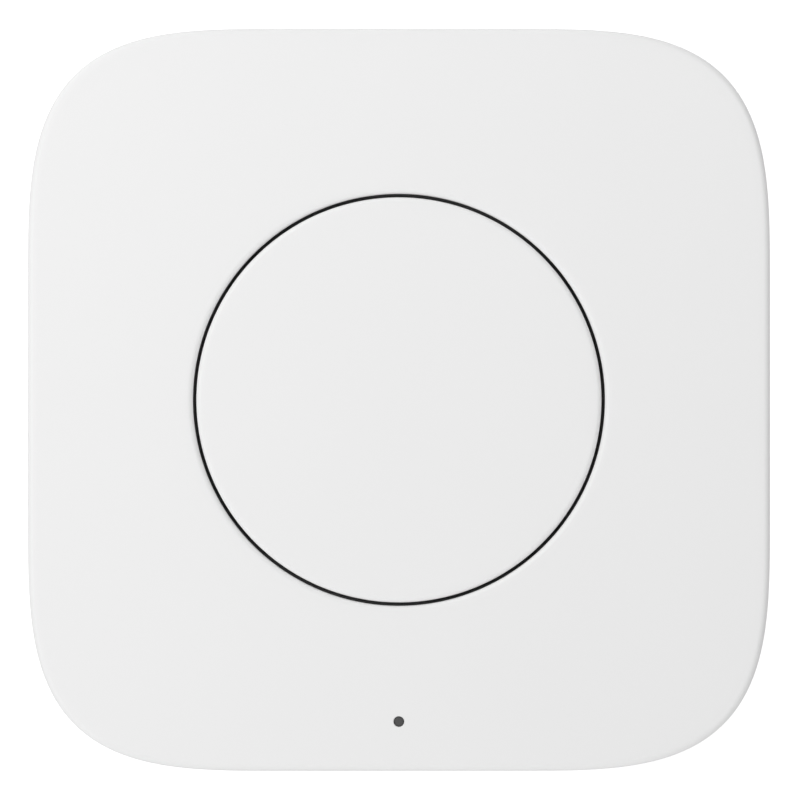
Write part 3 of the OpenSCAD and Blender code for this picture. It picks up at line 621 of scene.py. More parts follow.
def keep_flat_faces(piece):
    """Weights the normals by face size, so that a flat face stays flat beside its edges."""
    weighted = piece.modifiers.new("flat faces stay flat", "WEIGHTED_NORMAL")
    weighted.keep_sharp = True


def dress(piece, node, body, slot, *materials):
    """Materials, smooth shading and the place in the frame. A piece that is new has no node."""
    for material in materials:
        piece.data.materials.append(material)
    piece.data.shade_smooth()
    piece.data.set_sharp_from_angle(angle=math.radians(CRISP_ANGLE))
    keep_flat_faces(piece)
    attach(piece, body)
    if node:
        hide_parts(node)
    print(f"{piece.name}: {len(piece.data.polygons)} faces, {open_edge_count(piece)} open edges")


print("edges over", CRISP_ANGLE, "degrees stay crisp")

# %% [markdown]
# The status light shows through a hole only 0.64 mm wide, with its edge barely broken, so it reads
# as a crisp dot. Below the plate the hole widens to take the body of the light pipe. It is drilled
# with one stepped tool, as a mould would form it with one stepped pin.

# %% Front housing: the light hole
LIGHT_HOLE_R, HOLE_CHAMFER = 0.32, 0.04
PIPE_BORE_R, PIPE_BORE_LOW, PIPE_BORE_TOP = 1.02, 7.5, 11.62

light_bore = [(0, PIPE_BORE_LOW), (PIPE_BORE_R, PIPE_BORE_LOW), (PIPE_BORE_R, PIPE_BORE_TOP),
              (LIGHT_HOLE_R, PIPE_BORE_TOP), (LIGHT_HOLE_R, FACE_Z - HOLE_CHAMFER),
              (LIGHT_HOLE_R + HOLE_CHAMFER, FACE_Z), (LIGHT_HOLE_R + HOLE_CHAMFER, FACE_Z + OVER),
              (0, FACE_Z + OVER)]
carve(front, turned(light_bore, 64, 0, LIGHT_Y), "DIFFERENCE")
dress(front, "front_housing", "housing", "abs_white", moulded_abs)

# %% [markdown]
# ## Press cap
# The cap sits flush with the face, with a joint line of 0.21 mm round it. Under the disc are a
# skirt, a flange that keeps the cap from falling out, two crossed ribs, four stop legs and the
# pusher that meets the switch. Disc, skirt and flange are one turned profile, because the radius
# that shows beside the joint line has to be even all round. What isn't round is joined on.

# %% Press cap: the turned part
CAP_R, CAP_EDGE_R, CAP_UNDER, CAP_MID_Z = 12.28, 0.3, 11.5, 11.9
SKIRT_IN_R, SKIRT_INNER_R = 11.08, 0.15
FLANGE_R, FLANGE_Z, FLANGE_TOP, FLANGE_CHAMFER = 13.58, 10.0, 10.7, 0.08
TOP_RINGS, UNDER_RING = (11.6, 8, 4, 0), 5  # radii that only divide the flat faces

cap_profile = [(0, CAP_UNDER), (UNDER_RING, CAP_UNDER)]
cap_profile += bend(SKIRT_IN_R - SKIRT_INNER_R, CAP_UNDER - SKIRT_INNER_R, SKIRT_INNER_R, 90, 0, 4)
cap_profile += [(SKIRT_IN_R, FLANGE_Z), (FLANGE_R - FLANGE_CHAMFER, FLANGE_Z),
                (FLANGE_R, FLANGE_Z + FLANGE_CHAMFER), (FLANGE_R, FLANGE_TOP - FLANGE_CHAMFER),
                (FLANGE_R - FLANGE_CHAMFER, FLANGE_TOP), (CAP_R, FLANGE_TOP), (CAP_R, CAP_MID_Z)]
cap_profile += bend(CAP_R - CAP_EDGE_R, FACE_Z - CAP_EDGE_R, CAP_EDGE_R, 0, 90)
cap_profile += [(radius, FACE_Z) for radius in TOP_RINGS]
cap = mesh_object("press_cap", turned(cap_profile, 240))
print("cap profile points:", len(cap_profile))

# %% Press cap: pusher, ribs and legs
PUSHER_R, PUSHER_LOW, PUSHER_CHAMFER, INTO_DISC = 1.7, 9.3, 0.15, 11.8
RIB_REACH, RIB_HALF_W, RIB_LOW = 11.38, 0.45, 10.6
LEG_R, LEG_LOW, LEG_ROOT, LEG_CHAMFER, LEG_OUT = 0.45, 7.2, 10.3, 0.1, 11.68

carve(cap, turned(post(PUSHER_R, PUSHER_LOW, INTO_DISC, PUSHER_CHAMFER), 64), "UNION")
rib = [(sx * RIB_REACH, sy * RIB_HALF_W) for sx, sy in AROUND]
for rib_turn in (45, 135):
    lay = Matrix.Rotation(math.radians(rib_turn), 3, "Z")
    laid_rib = prism(rib, RIB_LOW, INTO_DISC, lambda u, v, w: tuple(lay @ Vector((u, v, w))))
    carve(cap, laid_rib, "UNION")
leg = post(LEG_R, LEG_LOW, LEG_ROOT, LEG_CHAMFER)
leg_at = [(LEG_OUT, 0), (0, LEG_OUT), (-LEG_OUT, 0), (0, -LEG_OUT)]
carve(cap, together(*(turned(leg, 32, x, y) for x, y in leg_at)), "UNION")
dress(cap, "button_cap", "button", "abs_white", moulded_abs)

# %% [markdown]
# ## Cushion ring and light pipe
# The silicone ring lies on the flange and stops the cap from rattling against the front plate. Its
# edges are round because it is moulded soft, so its profile is a round-cornered box. The light pipe
# is a stepped rod whose tip ends just below the face, so the dot has a shaded rim on the side where
# the light comes from. Both are round, and turning is the shortest way to them.

# %% Cushion ring
RING_IN, RING_OUT, RING_EDGE_R = 12.30, 13.53, 0.12


def round_box(left, right, low, high, radius, steps):
    """Outline of a round-cornered rectangle, from the right end of its top, anticlockwise."""
    corners = ((right - radius, high - radius, 0), (left + radius, high - radius, 90),
               (left + radius, low + radius, 180), (right - radius, low + radius, 270))
    return [spot for across, up, start in corners
            for spot in bend(across, up, radius, start, start + 90, steps)]


ring_profile = round_box(RING_IN, RING_OUT, FLANGE_TOP, PLATE_Z, RING_EDGE_R, 4)
cushion = mesh_object("cushion_rim", turned(ring_profile, 240))
dress(cushion, "cushion_ring", "button", "silicone_grey", silicone_rubber)

# %% Light pipe
PIPE_LOW, PIPE_R, SHOULDER_Z, SHOULDER_CHAMFER = 7.6, 1.0, 11.6, 0.1
STEP_R, STEP_TOP, STEP_CHAMFER = 1.4, 8.4, 0.06
TIP_R, TIP_Z, TIP_EDGE_R = 0.30, 12.68, 0.04

pipe_profile = [(0, PIPE_LOW), (STEP_R - STEP_CHAMFER, PIPE_LOW), (STEP_R, PIPE_LOW + STEP_CHAMFER),
                (STEP_R, STEP_TOP - STEP_CHAMFER), (STEP_R - STEP_CHAMFER, STEP_TOP),
                (PIPE_R, STEP_TOP), (PIPE_R, SHOULDER_Z - SHOULDER_CHAMFER),
                (PIPE_R - SHOULDER_CHAMFER, SHOULDER_Z), (TIP_R, SHOULDER_Z)]
pipe_profile += bend(TIP_R - TIP_EDGE_R, TIP_Z - TIP_EDGE_R, TIP_EDGE_R, 0, 90, 3)
pipe_profile += [(TIP_R / 2, TIP_Z), (0, TIP_Z)]
pipe = mesh_object("light_rod", turned(pipe_profile, 48, 0, LIGHT_Y))
dress(pipe, "light_pipe", "housing", "smoked_polycarbonate", smoked_polycarbonate)

# %% [markdown]
# ## Rear housing
# The rear shell meets the front at a fine joint line and rolls under with a 2 mm radius, so the
# button seems to float on its pad. It is made as the front was, from a chain of rings, because its
# long radius is the part that shows: the round well for the battery door is inside, and the lip and
# the body's outline are outside.

# %% Rear housing: the shell
REAR_Z, REAR_IN_Z, SEAM_Z, SIDE_MID_Z, LIP_Z = 0.8, 2.1, 4.0, 3.4, 5.4
REAR_EDGE_R = 2.0
RECESS_R, LEDGE_R, LUG_WAY_R, COLLAR_R = 13.2, 11.3, 12.6, 14.7
LEDGE_Z, LEDGE_TOP, COLLAR_TOP = 2.25, 3.15, 4.35
RECESS_CHAMFER, COLLAR_CHAMFER = 0.1, 0.15
LIP_IN, LIP_OUT, LIP_CHAMFER, LEAD_IN, LEAD_H, SEAM_MID = 2.5, 1.6, 0.1, 0.2, 0.25, 0.8

recess_mouth = RECESS_R + RECESS_CHAMFER
rear_rings = round_rings([
    (recess_mouth, REAR_Z), (RECESS_R, REAR_Z + RECESS_CHAMFER), (RECESS_R, LEDGE_Z),
    (LEDGE_R, LEDGE_Z), (LEDGE_R, LEDGE_TOP), (LUG_WAY_R, LEDGE_TOP),
    (LUG_WAY_R, COLLAR_TOP - COLLAR_CHAMFER), (LUG_WAY_R + COLLAR_CHAMFER, COLLAR_TOP),
    (COLLAR_R - COLLAR_CHAMFER, COLLAR_TOP), (COLLAR_R, COLLAR_TOP - COLLAR_CHAMFER),
    (COLLAR_R, REAR_IN_Z)])
rear_rings += flat_rings(circle(COLLAR_R), outline(LIP_IN), REAR_IN_Z, [0.5])
rear_rings += body_rings([
    (LIP_IN, REAR_IN_Z), (LIP_IN, LIP_Z - LIP_CHAMFER), (LIP_IN - LIP_CHAMFER, LIP_Z),
    (LIP_OUT + LEAD_IN, LIP_Z), (LIP_OUT, LIP_Z - LEAD_H), (LIP_OUT, SEAM_Z), (SEAM_MID, SEAM_Z)])
rear_rings += body_rings(bend(RIM_EDGE_R, SEAM_Z - RIM_EDGE_R, RIM_EDGE_R, 90, 180, 4))
rear_rings += body_rings([(0, SIDE_MID_Z)])
rear_rings += body_rings(bend(REAR_EDGE_R, REAR_Z + REAR_EDGE_R, REAR_EDGE_R, 180, 270, 12))
rear_rings += flat_rings(outline(REAR_EDGE_R), circle(recess_mouth), REAR_Z, [0.05, 0.5])
rear = mesh_object("rear_shell", loft(rear_rings))
print("rear shell rings:", len(rear_rings))

# %% [markdown]
# The lip is open at the snap hooks, so that the hooks can bend. Each hook is a flat spring with a
# nose that slides over the catch and drops behind it. The gap is cut first, then the hook is joined
# to the floor of the shell, as one bent profile pushed along the wall.

# %% Rear housing: snap hooks
GAP_IN_X, GAP_OUT_X, GAP_LOW, GAP_TOP, GAP_HALF_W = 18.8, 23.0, 4.4, 6.4, 3.3
HOOK_IN_X, HOOK_OUT_X, NOSE_X, HOOK_TIP_X, HOOK_HALF_W = 19.55, 20.35, 20.85, 20.25, 2.5
HOOK_LOW, NOSE_LOW, NOSE_TOP, HOOK_TOP = 1.8, 6.55, 6.75, 7.4

hook_gap = [(GAP_IN_X, GAP_LOW), (GAP_OUT_X, GAP_LOW), (GAP_OUT_X, GAP_TOP), (GAP_IN_X, GAP_TOP)]
hook = [(HOOK_IN_X, HOOK_LOW), (HOOK_OUT_X, HOOK_LOW), (HOOK_OUT_X, NOSE_LOW), (NOSE_X, NOSE_LOW),
        (NOSE_X, NOSE_TOP), (HOOK_TIP_X, HOOK_TOP), (HOOK_IN_X, HOOK_TOP)]
carve(rear, at_hooks(hook_gap, GAP_HALF_W), "DIFFERENCE")
carve(rear, at_hooks(hook, HOOK_HALF_W), "UNION")
print("rear shell with hooks:", len(rear.data.polygons), "faces")


# %% [markdown]
# The well has a ledge with three notches for the door's lugs, and three stops that end the turn.
# Two small dimples beside the door show where its own dimple points when it is locked and when it
# is free. Notches, stops and lugs are parts of upright rings, so one function serves all three.

# %% Rear housing: notches, stops and dimples
DIMPLE_R, DIMPLE_TOP, DIMPLE_SIDE = 0.35, 1.0, 0.05
DIMPLE = [(0, REAR_Z - OVER), (DIMPLE_R, REAR_Z - OVER), (DIMPLE_R, REAR_Z + DIMPLE_SIDE),
          (0.3, DIMPLE_TOP - 0.06), (0.2, DIMPLE_TOP - 0.02), (0, DIMPLE_TOP)]
REAR_DIMPLE_OUT, LOCKED_AT, FREE_AT = 14.05, 90, 45


def three_sectors(inner, outer, low, high, start, sweep, steps=12):
    """Part of an upright ring, three times round, from a start angle over a sweep in degrees."""
    sectors = []
    for third in (0, 120, 240):
        turns = [math.radians(third + start + sweep * i / steps) for i in range(steps + 1)]
        flat = [(outer * math.cos(t), outer * math.sin(t)) for t in turns]
        flat += [(inner * math.cos(t), inner * math.sin(t)) for t in reversed(turns)]
        sectors.append(prism(flat, low, high))
    return together(*sectors)


def dimple(out, angle):
    """A round tool with a domed end, to press a dimple upwards into a rear face."""
    turn = math.radians(angle)
    return turned(DIMPLE, 32, out * math.cos(turn), out * math.sin(turn))


notches = three_sectors(inner=10.2, outer=12.5, low=1.95, high=3.45, start=29.9, sweep=30.2)
stops = three_sectors(inner=11.5, outer=12.9, low=2.85, high=4.05, start=105.5, sweep=44)
carve(rear, notches, "DIFFERENCE")
carve(rear, stops, "UNION")
carve(rear, together(*(dimple(REAR_DIMPLE_OUT, at) for at in (LOCKED_AT, FREE_AT))), "DIFFERENCE")
dress(rear, "rear_housing", "housing", "abs_white", moulded_abs)

# %% [markdown]
# ## Battery door and its seal
# The door is a shallow cup with three lugs, turned an eighth of a turn with a coin. A groove round
# the rim holds the seal, which is a plain ring of round cord, just squeezed by the well. Cup,
# groove and neck are one turned profile, so the seal has an even groove to lie in. The coin slot
# has a round floor, as a milling cutter leaves it, and is cut with a tool of that shape.

# %% Battery door
DOOR_R, DOOR_IN_Z, DOOR_ROUND, DOOR_EDGE = 13.0, 2.1, 0.2, 0.06
NECK_R, NECK_IN_R, NECK_TOP, NECK_CHAMFER, NECK_LEAD_IN = 11.1, 10.2, 4.15, 0.1, 0.2
GROOVE_R, GROOVE_LOW, GROOVE_HIGH = 12.56, 1.16, 1.84
SLOT_FLOOR_R, SLOT_TOP, SLOT_REACH, SLOT_HALF_W, SLOT_STEPS = 35.35, 1.5, 7.6, 0.9, 12
SLOT_BELOW, DOOR_DIMPLE_OUT = -0.5, 11.8
DOOR_RING = 6  # a radius that only divides the flat face

door_profile = [(0, REAR_Z), (DOOR_RING, REAR_Z), (DOOR_R - DOOR_ROUND, REAR_Z),
                (DOOR_R - DOOR_EDGE, REAR_Z + DOOR_EDGE), (DOOR_R, REAR_Z + DOOR_ROUND),
                (DOOR_R, GROOVE_LOW), (GROOVE_R, GROOVE_LOW), (GROOVE_R, GROOVE_HIGH),
                (DOOR_R, GROOVE_HIGH), (DOOR_R, DOOR_IN_Z), (NECK_R, DOOR_IN_Z),
                (NECK_R, NECK_TOP - NECK_CHAMFER), (NECK_R - NECK_CHAMFER, NECK_TOP),
                (NECK_IN_R + NECK_LEAD_IN, NECK_TOP), (NECK_IN_R, NECK_TOP - NECK_LEAD_IN),
                (NECK_IN_R, DOOR_IN_Z), (0, DOOR_IN_Z)]
door = mesh_object("coin_door", turned(door_profile, 240))
lugs = three_sectors(inner=10.8, outer=12.3, low=3.25, high=4.05, start=77, sweep=26)
carve(door, lugs, "UNION")
slot_xs = [SLOT_REACH * i / SLOT_STEPS for i in range(-SLOT_STEPS, SLOT_STEPS + 1)]
slot = [(x, SLOT_TOP - SLOT_FLOOR_R + math.sqrt(SLOT_FLOOR_R ** 2 - x ** 2)) for x in slot_xs]
slot += [(SLOT_REACH, SLOT_BELOW), (-SLOT_REACH, SLOT_BELOW)]
slot_tool = prism(slot, -SLOT_HALF_W, SLOT_HALF_W, along_y)
carve(door, together(slot_tool, dimple(DOOR_DIMPLE_OUT, LOCKED_AT)), "DIFFERENCE")
dress(door, "battery_door", "door", "abs_white", moulded_abs)

# %% Door seal
SEAL_R, SEAL_Z, SEAL_CORD_R = 12.87, 1.5, 0.3
seal = mesh_object("seal_cord", turned(bend(SEAL_R, SEAL_Z, SEAL_CORD_R, 0, 330, 11), 180))
dress(seal, "door_seal", "door", "nitrile_grey", nitrile_rubber)

# %% [markdown]
# ## Adhesive pad
# The button is stuck on with a ring of foam tape, die-cut to follow the body and open round the
# door. A knife presses the foam while it cuts, so the cut edge springs back slightly hollow. That
# is a matter of a few rings with a changing inset, so it is drawn and not simulated. The foam's
# cells show as fine relief in the material.

# %% Foam tape ring
PAD_INSET, PAD_HOLE_R, PAD_T, PAD_HOLLOW, PAD_STEPS = 3.2, 15.2, 0.8, 0.06, 8
PAD_SHARES = (0.1, 0.5, 0.9)
levels = [(PAD_T * i / PAD_STEPS, PAD_HOLLOW * math.sin(math.pi * i / PAD_STEPS))
          for i in range(PAD_STEPS + 1)]
pad_rings = round_rings([(PAD_HOLE_R + hollow, z) for z, hollow in levels])
pad_rings += flat_rings(circle(PAD_HOLE_R), outline(PAD_INSET), PAD_T, PAD_SHARES)
pad_rings += body_rings([(PAD_INSET + hollow, z) for z, hollow in reversed(levels)])
pad_rings += flat_rings(outline(PAD_INSET), circle(PAD_HOLE_R), 0.0, PAD_SHARES)
pad = mesh_object("foam_ring", loft(pad_rings))
dress(pad, "adhesive_pad", "housing", "foam_tape", acrylic_foam)


# %% [markdown]
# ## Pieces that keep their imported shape
# Much of what sits on the board is already right as packed: plates, blocks and bent strip. Those
# pieces only need a broken edge, because no real edge is perfectly sharp, and their own material. A
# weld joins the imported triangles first, so that the bevel finds the true edges.

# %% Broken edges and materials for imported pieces
WELD_M, EDGE_ANGLE = 1e-7, 40


def soften(node, edge_mm, material):
    """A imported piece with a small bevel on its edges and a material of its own."""
    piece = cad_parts[node]
    piece.data.materials.clear()
    piece.data.materials.append(material)
    weld = piece.modifiers.new("join triangles", "WELD")
    weld.merge_threshold = WELD_M
    broken = piece.modifiers.new("broken edge", "BEVEL")
    broken.width, broken.segments, broken.limit_method = edge_mm * MM, 2, "ANGLE"
    broken.angle_limit = math.radians(EDGE_ANGLE)
    broken.use_clamp_overlap = True
    keep_flat_faces(piece)


softened = {
    "switch_base": (0.08, black_epoxy), "switch_cover": (0.03, stainless_steel),
    "switch_stem": (0.05, black_epoxy), "switch_terminals": (0.03, nickel_strip),
    "led_lens": (0.05, emitter_resin), "radio_chip": (0.04, black_epoxy),
    "radio_crystal": (0.05, stainless_steel), "antenna_trace": (0.01, gold_flash),
    "test_pads": (0.01, gold_flash), "positive_contacts": (0.04, nickel_strip),
    "negative_contact": (0.03, nickel_strip), "cell_can": (0.02, cell_steel),
    "cell_gasket": (0.02, polypropylene), "cell_cap": (0.02, cell_steel),
    "cell_core": (0.05, electrode),
}
for node_name, (edge_mm, material) in softened.items():
    soften(node_name, edge_mm, material)
print("softened", len(softened), "packed pieces")

# %% [markdown]
# ## Circuit board
# The board is routed from a sheet of laminate along the body's outline, with notches where the snap
# hooks pass and four drilled holes. Cutting the flat shape from a block gives large flat faces,
# which is what a board needs: any waviness would show in the reflection of its lacquer.

# %% Board blank with notches and holes
BOARD_INSET, BOARD_HOLE_R = 2.1, 0.8
NOTCH_X, NOTCH_HALF_W = 19.3, 3.1
CUT_LOW, CUT_HIGH = BOARD_LOW - OVER, BOARD_TOP + OVER

blank = mesh_object("board_laminate", prism(outline(BOARD_INSET), BOARD_LOW, BOARD_TOP))
drill = [(0, CUT_LOW), (BOARD_HOLE_R, CUT_LOW), (BOARD_HOLE_R, CUT_HIGH), (0, CUT_HIGH)]
notch = [(NOTCH_X, CUT_LOW), (HALF_W, CUT_LOW), (HALF_W, CUT_HIGH), (NOTCH_X, CUT_HIGH)]
carve(blank, together(*(turned(drill, 48, x, y) for x, y in SCREW_AT),
                      at_hooks(notch, NOTCH_HALF_W)), "DIFFERENCE")
dress(blank, "circuit_board", "housing", "fr4_board", solder_mask)

# %% [markdown]
# ## Chip capacitors and resistors
# A chip part is a tiny fired brick whose two ends are dipped in tin, so the ends stand slightly
# proud of the middle. Each is a chain of round-cornered rectangles along its length, which gives
# the dipped ends their soft edge and lets one mesh carry both materials. The base of the light
# emitter is such a part too, only white and with level ends.

# %% Dipped-end chip parts
TIN_DROP, TIN_ROUND, TIN_STEP, CHIP_CORNER_R = 0.05, 0.04, 0.02, 0.05
MIDDLE = 3  # the step of the chain between the two tin ends
BODY, TIN = 0, 1  # numbers of the two materials


def chip_part(x, y, long, wide, tall, along_x, end, proud=0.02):
    """Points, faces and material numbers of one chip part standing on the board."""
    half = [(0.0, TIN_DROP), (TIN_ROUND, 0.0), (end, 0.0), (end + TIN_STEP, proud)]
    stations = [(s - long / 2, drop) for s, drop in half]
    stations += [(long / 2 - s, drop) for s, drop in reversed(half)]
    sections = []
    for at, drop in stations:
        box = round_box(drop - wide / 2, wide / 2 - drop, BOARD_TOP + drop,
                        BOARD_TOP + tall - drop, CHIP_CORNER_R, 3)
        sections.append([(x + at, y + across, up) if along_x else (x + across, y + at, up)
                         for across, up in box])
    points, faces = chain(sections)
    count = len(sections[0])
    kinds = [BODY if number // count == MIDDLE else TIN for number in range(len(faces))]
    return points, faces, kinds


def chip_row(name, parts):
    """One piece from several chip parts, with each face's material set."""
    made = mesh_object(name, together(*((points, faces) for points, faces, _ in parts)))
    for face, kind in zip(made.data.polygons, [k for part in parts for k in part[2]]):
        face.material_index = kind
    return made


print("a chip part has", len(chip_part(0, 0, 1.0, 0.5, 0.5, True, 0.2)[1]), "faces")

# %% Where the chip parts stand
CHIP_X, CHIP_Y, CHIP_HALF = -8.0, 7.0, 3.0  # the radio chip, which most of them serve
FROM_MIDDLE = (-1.5, -0.5, 0.5, 1.5)
ROW_STEP = 1.6
SIDE_ROW = [10.6 + 0.9 * i for i in range(3)]
LARGE_ROW = [-7 + 1.2 * i for i in range(3)]
SMALL, LARGE = (1.0, 0.5, 0.5), (1.6, 0.8, 0.8)  # length, width and height
RESISTOR, EMITTER = (1.0, 0.5, 0.35), (1.6, 0.8, 0.3)
SMALL_END, LARGE_END, RESISTOR_END, EMITTER_END = 0.22, 0.35, 0.2, 0.25  # tin at each end

capacitors = [(CHIP_X + ROW_STEP * i, 2.6, *SMALL, False, SMALL_END) for i in FROM_MIDDLE]
capacitors += [(-2.4, y, *SMALL, True, SMALL_END) for y in SIDE_ROW]
capacitors += [(10.2, y, *LARGE, True, LARGE_END) for y in LARGE_ROW]
row = chip_row("chip_capacitors", [chip_part(*sizes) for sizes in capacitors])
dress(row, "ceramic_capacitors", "housing", "barium_titanate", titanate, tin_plate)
resistors = [(-13.2, CHIP_Y + ROW_STEP * i, *RESISTOR, True, RESISTOR_END) for i in FROM_MIDDLE]
resistors += [(x, LIGHT_Y + 1.6, *RESISTOR, False, RESISTOR_END) for x in (3.2, 4.8)]
row = chip_row("thick_film_resistors", [chip_part(*sizes) for sizes in resistors])
dress(row, "chip_resistors", "housing", "black_resin", black_epoxy, tin_plate)
emitter = (0, LIGHT_Y, *EMITTER, True, EMITTER_END)
row = chip_row("emitter_base", [chip_part(*emitter, proud=0.0)])
dress(row, "led_base", "housing", "led_white", emitter_white, tin_plate)

# %% [markdown]
# ## Reservoir capacitor
# This capacitor is moulded round its metal strip. The mould opens at half height, so the case is
# widest there and leans in above and below. The strip leaves the case at the same height and is
# folded down and under. The case is a chain of sections along its length, and each tab is a bent
# profile.

# %% Moulded case with folded tabs
CASE_X, CASE_Y, CASE_HALF_W, CASE_LOW, CASE_TOP = 7.0, -9.4, 0.8, 6.9, 8.4
CASE_MIDDLE = (CASE_LOW + CASE_TOP) / 2
CASE_DRAFT, CASE_EDGE_R, CASE_END, CASE_CHAMFER, CASE_ROUND = 0.06, 0.08, 1.5, 0.06, 0.04
BAND_FROM, BAND_TO, BAND_STEP, TOP_FACE = -1.15, -0.7, 2, 3
CASE, BAND, TAB = 0, 1, 2  # numbers of the three materials
TAB_OUT, TAB_BACK, TAB_HALF_W, TAB_T, TAB_FOOT_T, TAB_FOLD = 1.6, 0.9, 0.6, 0.1, 0.08, 0.04
TAB_DROP, TAB_SUNK, TAB_INNER_FOLD = 0.05, 0.05, 0.02


def case_section(shrink):
    """Outline of the case across its length, starting at the right end of its top."""
    top_w, side = CASE_HALF_W - CASE_DRAFT - shrink, CASE_HALF_W - shrink
    box = round_box(-top_w, top_w, CASE_LOW + shrink, CASE_TOP - shrink, CASE_EDGE_R, 3)
    half = len(box) // 2
    return box[:half] + [(-side, CASE_MIDDLE)] + box[half:] + [(side, CASE_MIDDLE)]


stations = [(-CASE_END, CASE_CHAMFER), (CASE_ROUND - CASE_END, 0.0), (BAND_FROM, 0.0),
            (BAND_TO, 0.0), (CASE_END - CASE_ROUND, 0.0), (CASE_END, CASE_CHAMFER)]
sections = [[(CASE_X + at, CASE_Y + across, up) for across, up in case_section(shrink)]
            for at, shrink in stations]
case_points, case_faces = chain(sections)
tab_top, foot_top = CASE_MIDDLE - TAB_DROP, BOARD_TOP + TAB_FOOT_T
tab_under, tab_in, tab_root = tab_top - TAB_T, TAB_OUT - TAB_FOOT_T, CASE_END - TAB_SUNK
tab = [(tab_root, tab_top), (TAB_OUT - TAB_FOLD, tab_top), (TAB_OUT, tab_top - TAB_FOLD),
       (TAB_OUT, BOARD_TOP + TAB_FOLD), (TAB_OUT - TAB_FOLD, BOARD_TOP), (TAB_BACK, BOARD_TOP),
       (TAB_BACK, foot_top), (CASE_END, foot_top), (tab_in, foot_top + TAB_INNER_FOLD),
       (tab_in, tab_under), (tab_root, tab_under)]
tabs = [prism([(side * u, v) for u, v in tab], -TAB_HALF_W, TAB_HALF_W,
              lambda u, v, w: (CASE_X + u, CASE_Y + w, v)) for side in (-1, 1)]
amber_case = mesh_object("tantalum_case", together((case_points, case_faces), *tabs))
for number, face in enumerate(amber_case.data.polygons):
    on_band = number == BAND_STEP * len(sections[0]) + TOP_FACE
    face.material_index = TAB if number >= len(case_faces) else BAND if on_band else CASE
dress(amber_case, "reservoir_capacitor", "housing", "tantalum_case",
      tantalum_mould, printed_band, tin_plate)

# %% [markdown]
# ## Pegs of the tactile switch
# The steel plate of a tactile switch is held by four pegs of the base, melted over to round heads.
# The heads are low domes, and a turned profile of three steps is enough for their size.

# %% Peg heads on the switch
PLATE_TOP, PEG_AT, PEG_R, PEG_SUNK = 8.6, 2.5, 0.42, 0.03
peg = [(0, -PEG_SUNK), (PEG_R, -PEG_SUNK), (PEG_R, 0.04), (0.38, 0.1), (0.28, 0.14), (0, 0.16)]
peg = [(radius, PLATE_TOP + rise) for radius, rise in peg]
pegs = mesh_object("switch_pegs", together(*(
    turned(peg, 32, sx * PEG_AT, sy * PEG_AT) for sx, sy in FOUR_WAYS)))
dress(pegs, None, "housing", "black_resin", black_epoxy)


# %% [markdown]
# ## Solder at the chip's feet
# A leadless chip has its contacts under its edge, ten to a side and half a millimetre apart. Solder
# creeps a little way up each one, so the foot of the chip is ringed by small bright wedges. A wedge
# is one flat shape, pushed through the width of a contact and turned to its side of the chip.

# %% Solder wedges round the chip
CONTACT_STEP, CONTACT_HALF_W = 0.5, 0.13
WEDGE = [(-0.1, -0.02), (0.24, -0.02), (0.22, 0.03), (0.05, 0.2), (-0.1, 0.2)]


def solder_wedge(side, along):
    """One wedge at a side of the chip, numbered from 0 to 3, at a distance along that side."""
    turn = Matrix.Rotation(math.radians(90 * side), 3, "Z")
    foot = Vector((CHIP_X, CHIP_Y, BOARD_TOP))
    return prism(WEDGE, -CONTACT_HALF_W, CONTACT_HALF_W,
                 lambda u, v, w: tuple(turn @ Vector((CHIP_HALF + u, along + w, v)) + foot))


wedges = mesh_object("chip_solder", together(*(
    solder_wedge(side, CONTACT_STEP * (i + 0.5)) for side in range(4) for i in range(-5, 5))))
dress(wedges, None, "housing", "nickel_spring", tin_plate)


# %% [markdown]
# ## Copper lanes and vias
# Copper lies under the mask, so its lanes stand up by a few hundredths of a millimetre and look
# lighter. They could be painted on, but as thin strips they catch the light as real ones do. Each
# lane is the line that it follows, in straight runs and turns of 45 degrees, widened to both sides.
# Where a lane goes through to the other side it ends in a via, a small ring with a dimple in its
# middle.

# %% Lanes and vias
COPPER_RISE, COPPER_SUNK = 0.035, 0.02
VIA_R, VIA_HOLE_R, VIA_RISE, VIA_FLOOR = 0.3, 0.14, 0.07, 0.037
SIGNAL_W, TEST_W = 0.22, 0.3


def lane(spots, width=SIGNAL_W, front=True):
    """A strip along a line of points, with mitred corners, on the front or rear of the board."""
    spots = [Vector(spot) for spot in spots]
    ways = [(b - a).normalized() for a, b in zip(spots, spots[1:])]
    left, right = [], []
    for spot, before, after in zip(spots, ways[:1] + ways, ways + ways[-1:]):
        across = (before + after).orthogonal().normalized()
        reach = across * (width / 2 / across.dot(after.orthogonal()))
        left.append(spot + reach)
        right.append(spot - reach)
    low, high = ((BOARD_TOP - COPPER_SUNK, BOARD_TOP + COPPER_RISE) if front
                 else (BOARD_LOW - COPPER_RISE, BOARD_LOW + COPPER_SUNK))
    return prism(left + right[::-1], low, high)


def via(x, y):
    """A ring on each side of the board, with its hole filled by lacquer to just above the lanes."""
    above = [(0, -COPPER_SUNK), (VIA_R, -COPPER_SUNK), (VIA_R, VIA_RISE), (VIA_HOLE_R, VIA_RISE),
             (VIA_HOLE_R, VIA_FLOOR), (0, VIA_FLOOR)]
    return together(turned([(r, BOARD_TOP + rise) for r, rise in above], 24, x, y),
                    turned([(r, BOARD_LOW - rise) for r, rise in above], 24, x, y))


print("a straight lane has", len(lane([(0, 0), (1, 0)])[1]), "faces, a via", len(via(0, 0)[1]))


# %% [markdown]
# Every part stands on pads that the lacquer leaves bare, tinned and a little larger than its feet.
# They could be a pattern in the lacquer, but as thin plates they keep the shine and the clean
# border of a metal. They lie just higher than the lanes, so that a lane ends where its pad begins.

# %% Bare pads under the parts
PAD_RISE, PAD_REACH, PAD_SIDE = 0.042, 0.15, 0.05
CASE_PAD_X, CASE_PAD = 1.35, (1.1, 1.3)
LEAD_X, LEAD_Y, LEAD_PAD = 4.15, 2.25, (1.2, 1.0)


